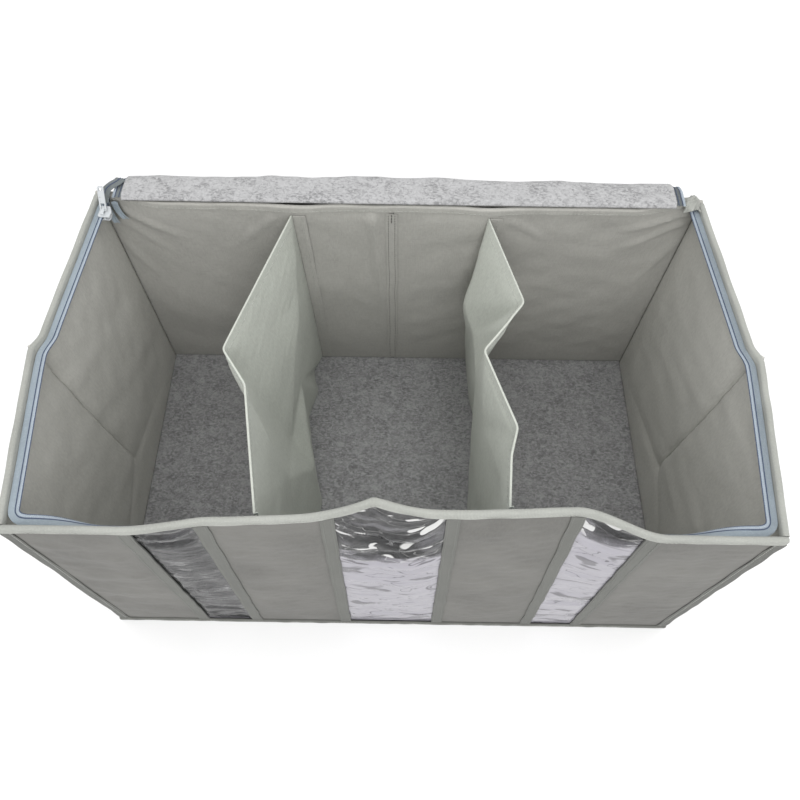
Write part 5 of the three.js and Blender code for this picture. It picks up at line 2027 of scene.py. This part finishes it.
    def layer(self, name: str, finish: Finish, off: float, thick: float, start: float, *nodes: str) -> None:
        """Makes one layer that rolls over the rim and hangs down, with the stitches along its edges.

        Args:
            name: Name of the piece.
            finish: Its finish.
            off: How far its middle is off the lid's middle, to the felt side.
            thick: Its thickness.
            start: How far from the rear rim it starts.
            *nodes: Solids that it replaces.
        """
        t = self.rows(start)
        tt = t[:, None]
        side = math.copysign(1.0, off)
        share = stations(-1.0, 1.0, self.step / self.half_width, 1.0 * MM / self.half_width)
        x = self.half_at(t)[:, None] * share[None, :]
        hanging = smooth(tt, self.bend_to, self.bend_to + 60 * MM)
        loose = smooth(self.half_width - np.abs(x), 2 * MM, 40 * MM) * hanging
        loose = loose * smooth(self.length - tt, 34 * MM, 80 * MM)
        puff = loose * 0.5 * MM * (1.0 + np.clip(Waves(111, 110 * MM).at(x, tt), -1.0, 1.0))
        points = self.at(x, tt, off)
        if side > 0.0:
            points[..., 2] -= 2.6 * MM * (1.0 - smooth(tt, start, start + 5 * MM))
        points[..., 1] += puff * side * smooth(tt, self.bend_to, self.bend_to + 40 * MM)
        piece = build(name, sheet(points[:, ::-1], thick))
        self.dress(piece, finish, *nodes, body="")
        self.across_bend(piece)
        surface, round_from = off + side * thick / 2, self.length - self.corner_radius
        rim_t = t[(t > start + 3 * MM) & (t < round_from)]
        edge = self.half_width - self.stitch_inset
        foot = stations(-self.half_width + self.corner_radius, self.half_width - self.corner_radius, 6 * MM)
        lines = [self.at(way * edge, rim_t, surface) for way in (-1.0, 1.0)]
        lines.append(self.at(foot, self.length - self.stitch_inset, surface))
        rows = [(line, self.outward(line, side)) for line in lines]
        stitches = self.sew(name + "_stitches", rows, self.palette.thread, LONG_STITCHES, body="")
        self.across_bend(stitches)

    def hinge_strip(self) -> None:
        """Makes the strip of cloth that ties the lid to the rear rim."""
        t = stations(-0.4 * MM, 12 * MM, 0.9 * MM)
        x = stations(-self.half_width + 2 * MM, self.half_width - 2 * MM, self.step)
        xx, tt = np.meshgrid(x[::-1], t)
        z = self.stock.height + 0.75 * MM + self.way[1] * np.maximum(tt, 0.0)
        waver = 0.6 * MM * Waves(121, 60 * MM).at(xx)
        points = stack(xx, self.hinge_y + tt + waver * (tt < 3 * MM), z)
        piece = build("lid_hinge_cloth", sheet(points, 0.8 * MM))
        self.dress(piece, self.palette.shell, body="")
        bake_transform(piece)

    def edge_path(self, step: float) -> Path:
        """The lid's free edge on the flat lid, from the rear left round the front to the rear right.

        Args:
            step: About how far apart the stations are.

        Returns:
            X and distance from the rim of each station, and the direction outwards there.
        """
        half, radius, last = self.half_width, self.corner_radius, self.length
        side = stations(1.4 * MM, last - radius, step)
        across = stations(-half + radius, half - radius, step)
        count = max(6, round(radius * math.pi / 2 / step))
        turn = np.linspace(0.0, math.pi / 2, count + 1)[1:-1]
        x = np.concatenate([
            0 * side - half, -half + radius - radius * np.cos(turn), across,
            half - radius + radius * np.sin(turn), 0 * side + half])
        t = np.concatenate([
            side, last - radius + radius * np.sin(turn), 0 * across + last,
            last - radius + radius * np.cos(turn), side[::-1]])
        out_x = np.concatenate([0 * side - 1, -np.cos(turn), 0 * across, np.sin(turn), 0 * side + 1])
        out_t = np.concatenate([0 * side, np.sin(turn), 0 * across + 1, np.cos(turn), 0 * side])
        return x, t, out_x, out_t

    def at_edge(self, path: Path, reach: Array | float, off: Array | float = 0.0) -> Array:
        """Where points outwards of the lid's free edge are, with a row for each station of it."""
        x, t, out_x, out_t = (part[:, None] for part in path)
        return self.at(x + out_x * reach, t + out_t * reach, off)

    def chain(self) -> None:
        """Makes the zip tape, coil and dark threads round the lid's free edge."""
        path = self.edge_path(3 * MM)
        reach = np.array([-5.0, -4.0, -1.0, 2.0, 4.0, 5.6, 6.6, 7.0]) * MM
        curl = 0.35 * MM * Waves(131, 30 * MM).at(path[0] + path[1])[:, None]
        grid = self.at_edge(path, reach)
        grid[..., 1] += curl * smooth(reach, 0.0, 7 * MM)
        tape = build("lid_zip_tape", sheet(grid, self.tape_thick))
        self.dress(tape, self.palette.lid_zip, "lid_rear_zip_left", "lid_rear_zip_right", "lid_zip_chain",
                   body="")
        teeth_path = self.edge_path(self.tooth_pitch)
        near, far = self.tape_width - 0.3 * MM, self.tape_width + self.stock.coil_width - 0.35 * MM
        inner, outer, above = (
            self.at_edge(teeth_path, *spot)[:, 0] for spot in ((near, 0.0), (far, 0.0), (far, 1 * MM)))
        coil = build("lid_zip_coil", ZIP_TEETH.shell(inner, outer, unit(above - outer)))
        self.dress(coil, self.palette.coil, body="")
        turn, thick = around(6), 0.4 * MM
        shells = [
            tube(self.at_edge(path, middle + thick * np.cos(turn), THREAD + thick * np.sin(turn)))
            for middle in (2.6 * MM, 6.3 * MM)]
        threads = self.dress(build("lid_zip_dark_threads", *shells), self.palette.zip_thread, body="")
        for piece in (tape, coil, threads):
            self.across_bend(piece)

    def lead(self) -> None:
        """Makes the short run of zip tape that turns from the left rim up to the lid."""
        turns = np.array([(-291, 161, 298.6), (-290.5, 166, 301.5), (-288.5, 172, 305.2), (-284, 176, 307),
                          (-278.5, 180.5, 307.2), (-276.5, 185.5, 306.4)]) * MM
        share = np.linspace(0.0, len(turns) - 1.0, 26)
        line = np.stack([np.interp(share, np.arange(len(turns)), part) for part in turns.T], axis=-1)
        for _ in range(3):
            line[1:-1] = (line[:-2] + 2.0 * line[1:-1] + line[2:]) / 4.0
        ahead = unit(np.gradient(line, axis=0))[:, None]
        beside = unit(np.cross(ahead, (0.0, 0.0, 1.0)))
        above = np.cross(beside, ahead)
        across = np.array([-5.4, -4.4, -2.0, 1.0, 3.6, 5.0])[:, None] * MM
        cup = 0.9 * MM * (across / across[0]) ** 2
        grid = line[:, None] + beside * across - above * cup
        tape = self.dress(build("lid_zip_lead", sheet(grid, self.tape_thick)), self.palette.lid_zip, body="")
        turn, radius = around(6)[:, None], 0.5 * MM
        seam = tube(line[:, None] + radius * (above + beside * np.cos(turn) + above * np.sin(turn)))
        thread = self.dress(build("lid_zip_lead_thread", seam), self.palette.zip_thread, body="")
        for piece in (tape, thread):
            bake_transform(piece)

    def tuft(self) -> None:
        """Makes the crumpled end of the binding at the rear right corner."""
        u, v = np.meshgrid(np.linspace(-1.0, 1.0, 25), np.linspace(-1.0, 1.0, 19))
        rough = Waves(141, 0.9).at(u, v)
        fine = Waves(142, 0.4).at(u, v)
        x = 289.5 * MM + 8.0 * MM * u + 1.2 * MM * rough
        y = 170 * MM + 8.5 * MM * v + 1.4 * MM * Waves(143, 0.8).at(u, v)
        z = 301.5 * MM + 2.6 * MM * (1.0 - u**2) * (1.0 - v**2) + 1.7 * MM * rough + 0.9 * MM * fine
        z = z - 5.5 * MM * smooth(np.hypot(u, v), 0.75, 1.4)
        self.dress(build("rear_corner_tuft", sheet(stack(x, y, z), 0.8 * MM)), self.palette.tape)


@dataclass
class Handles(Assembly):
    """A webbing strap on each short side, sewn down at both ends."""

    top: float = 262 * MM
    width: float = 26 * MM
    span: float = 120 * MM
    end: float = 24 * MM
    bow: float = 14 * MM
    thick: float = 1.8 * MM
    turn_x: float = 310 * MM
    turn_from: float = 59.5 * MM
    turn_to: float = 42 * MM
    step: float = 2.5 * MM

    def build(self) -> None:
        """Makes both straps, each in two halves that meet in the middle."""
        for side in Side:
            for end in End:
                self.half_strap(side, end)

    def strap_x(self, side: Side, y: Array) -> Array:
        """X of the middle of the strap.

        Args:
            side: Which side.
            y: Places along it.

        Returns:
            The X at each place.
        """
        bow = self.bow * np.where(np.abs(y) < self.span / 2, np.cos(math.pi * y / self.span) ** 2, 0.0)
        out = self.stock.gap + self.thick / 2 + bow
        return side.value * (self.stock.half_width + self.settling.side(y, self.top) + out)

    def half_strap(self, side: Side, end: End) -> None:
        """Makes one half of a strap with its sewn end.

        Args:
            side: Which side.
            end: Which half.
        """
        y = end.value * stations(self.span / 2 + self.end, 0.0, self.step, 0.7 * MM)
        y[-1] = 0.0
        low = self.top - self.width
        z = stations(low, self.top, 3 * MM, 0.5 * MM)
        yy, zz = np.meshgrid(y, z)
        free = smooth(self.span / 2 - np.abs(yy), 0.0, 24 * MM)
        cup = -side.value * 1.6 * MM * free * (2.0 * (zz - low) / self.width - 1.0) ** 2
        ripple = side.value * 0.3 * MM * Waves(151 + side.value, 22 * MM).at(np.abs(yy), zz)
        ripple = ripple * smooth(np.abs(yy), 0.0, 8 * MM)
        points = stack(self.strap_x(side, yy) + cup + ripple, yy, zz)
        if side.value * end.value < 0:
            points = points[:, ::-1]
        handle = f"handle_{side.word}"
        piece = build(f"{handle}_strap_{end.word}", sheet(points, self.thick, 0.6))
        self.dress(piece, self.palette.webbing, f"{handle}_end_{end.word}", handle, body="")
        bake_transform(piece)
        self.box_stitch(side, end)

    def box_stitch(self, side: Side, end: End) -> None:
        """Makes the square of stitches with a cross that holds one end.

        Args:
            side: Which side.
            end: Which end.
        """
        inset = 3.5 * MM
        near, far = self.span / 2 + inset, self.span / 2 + self.end - inset
        low, high = self.top - self.width + inset, self.top - inset
        corners = [(near, low), (far, low), (far, high), (near, high), (near, low), (far, high)]
        lines = [(corners[i], corners[i + 1]) for i in range(5)] + [((near, high), (far, low))]
        rows = []
        for (y0, z0), (y1, z1) in lines:
            share = np.linspace(0.0, 1.0, 8)
            y = end.value * (y0 + (y1 - y0) * share)
            z = z0 + (z1 - z0) * share
            line = stack(self.strap_x(side, y) + side.value * (self.thick / 2 + 0.1 * MM), y, z)
            rows.append((line, side.out))
        self.sew(f"handle_{side.word}_stitches_{end.word}", rows, self.palette.thread)


# The studio


@dataclass
class Studio:
    """Camera, floor and soft light."""

    eye: Place = (4.65 * MM, -356.60 * MM, 832.75 * MM)
    look_down: float = 60.735
    yaw: float = -0.082
    roll: float = 0.824
    focal_pixels: float = 730.23
    frame_pixels: float = 800.0
    sensor: float = 36.0
    sky: float = 0.95
    floor: Colour = (0.68, 0.68, 0.68)
    floor_glow: float = 0.26
    floor_half: float = 6.0

    def build(self) -> None:
        """Sets up everything round the object."""
        self.camera()
        self.world()
        self.ground()
        self.lamp("light_above", (0.1, 0.1, 2.2), (0.0, 0.0, 0.1), 2.0, 16.0)
        self.lamp("light_front", (0.05, -2.0, 1.6), (0.0, 0.0, 0.25), 1.1, 27.0)
        view = bpy.context.scene.view_settings
        view.view_transform = "Standard"

    def camera(self) -> None:
        """Puts the camera where the photo was taken."""
        down, yaw, roll = (math.radians(angle) for angle in (self.look_down, self.yaw, self.roll))
        ahead = Vector((math.sin(yaw) * math.cos(down), math.cos(yaw) * math.cos(down), -math.sin(down)))
        level = ahead.cross(Vector((0.0, 0.0, 1.0))).normalized()
        above = level.cross(ahead)
        right = level * math.cos(roll) + above * math.sin(roll)
        up = above * math.cos(roll) - level * math.sin(roll)
        data = bpy.data.cameras.new("camera")
        data.sensor_width = self.sensor
        data.lens = self.sensor * self.focal_pixels / self.frame_pixels
        data.clip_start = 0.01
        camera = bpy.data.objects.new("camera", data)
        turned = Matrix((right, up, -ahead)).transposed().to_4x4()
        camera.matrix_world = Matrix.Translation(self.eye) @ turned
        bpy.context.scene.collection.objects.link(camera)
        bpy.context.scene.camera = camera

    def seen(self, nodes: Nodes) -> Socket:
        """1 for a ray that shows the background: seen directly, in gloss or through something clear."""
        path = nodes.node("LightPath").outputs
        return nodes.sums("ADD", nodes.sums("ADD", path["Is Camera Ray"], path["Is Glossy Ray"], True),
                          path["Is Transmission Ray"], True)

    def world(self) -> None:
        """White to look at, and softer as a light."""
        world = bpy.data.worlds.new("white_room")
        bpy.context.scene.world = world
        world.use_nodes = True
        nodes = Nodes(world.node_tree)
        background = nodes.tree.nodes["Background"]
        nodes.feed(background.inputs["Color"], (1.0, 1.0, 1.0))
        nodes.feed(background.inputs["Strength"], nodes.span(self.seen(nodes), 0.0, 1.0, self.sky, 1.0))

    def ground(self) -> None:
        """A wide pale floor that keeps the object's shadow."""
        mesh = bpy.data.meshes.new("ground")
        half = self.floor_half
        corners = [(-half, -half, 0.0), (half, -half, 0.0), (half, half, 0.0), (-half, half, 0.0)]
        mesh.from_pydata(corners, [], [(0, 1, 2, 3)])
        ground = bpy.data.objects.new("ground", mesh)
        bpy.context.scene.collection.objects.link(ground)
        pale = Recipe("ground_pale")
        glow = pale.sums("MULTIPLY", self.seen(pale), self.floor_glow)
        pale.set(Base_Color=self.floor, Roughness=0.9, Specular_IOR_Level=0.1)
        pale.set(Emission_Color=(1.0, 1.0, 1.0), Emission_Strength=glow)
        mesh.materials.append(pale.material)

    def lamp(self, name: str, place: Place, target: Place, size: float, power: float) -> None:
        """Adds a soft square light that faces a target.

        Args:
            name: Its name.
            place: Where it is.
            target: Where it looks.
            size: Length of its side.
            power: Its power in watts.
        """
        data = bpy.data.lights.new(name, "AREA")
        data.size = size
        data.energy = power
        lamp = bpy.data.objects.new(name, data)
        lamp.location = place
        lamp.rotation_euler = (Vector(target) - Vector(place)).to_track_quat("-Z", "Y").to_euler()
        bpy.context.scene.collection.objects.link(lamp)


def main() -> None:
    """Builds the studio and every sub-assembly in order."""
    logging.basicConfig(level=logging.INFO, format="%(message)s")
    Studio().build()
    parts = (Palette(), Stock(), Settling())
    for assembly in (FrontWall, SideWalls, BackWall, Bindings, RimZip, Dividers, Floor, Lid, Handles):
        log.info("%s", assembly.__name__)
        assembly(*parts).build()


if __name__ == "__main__":
    main()
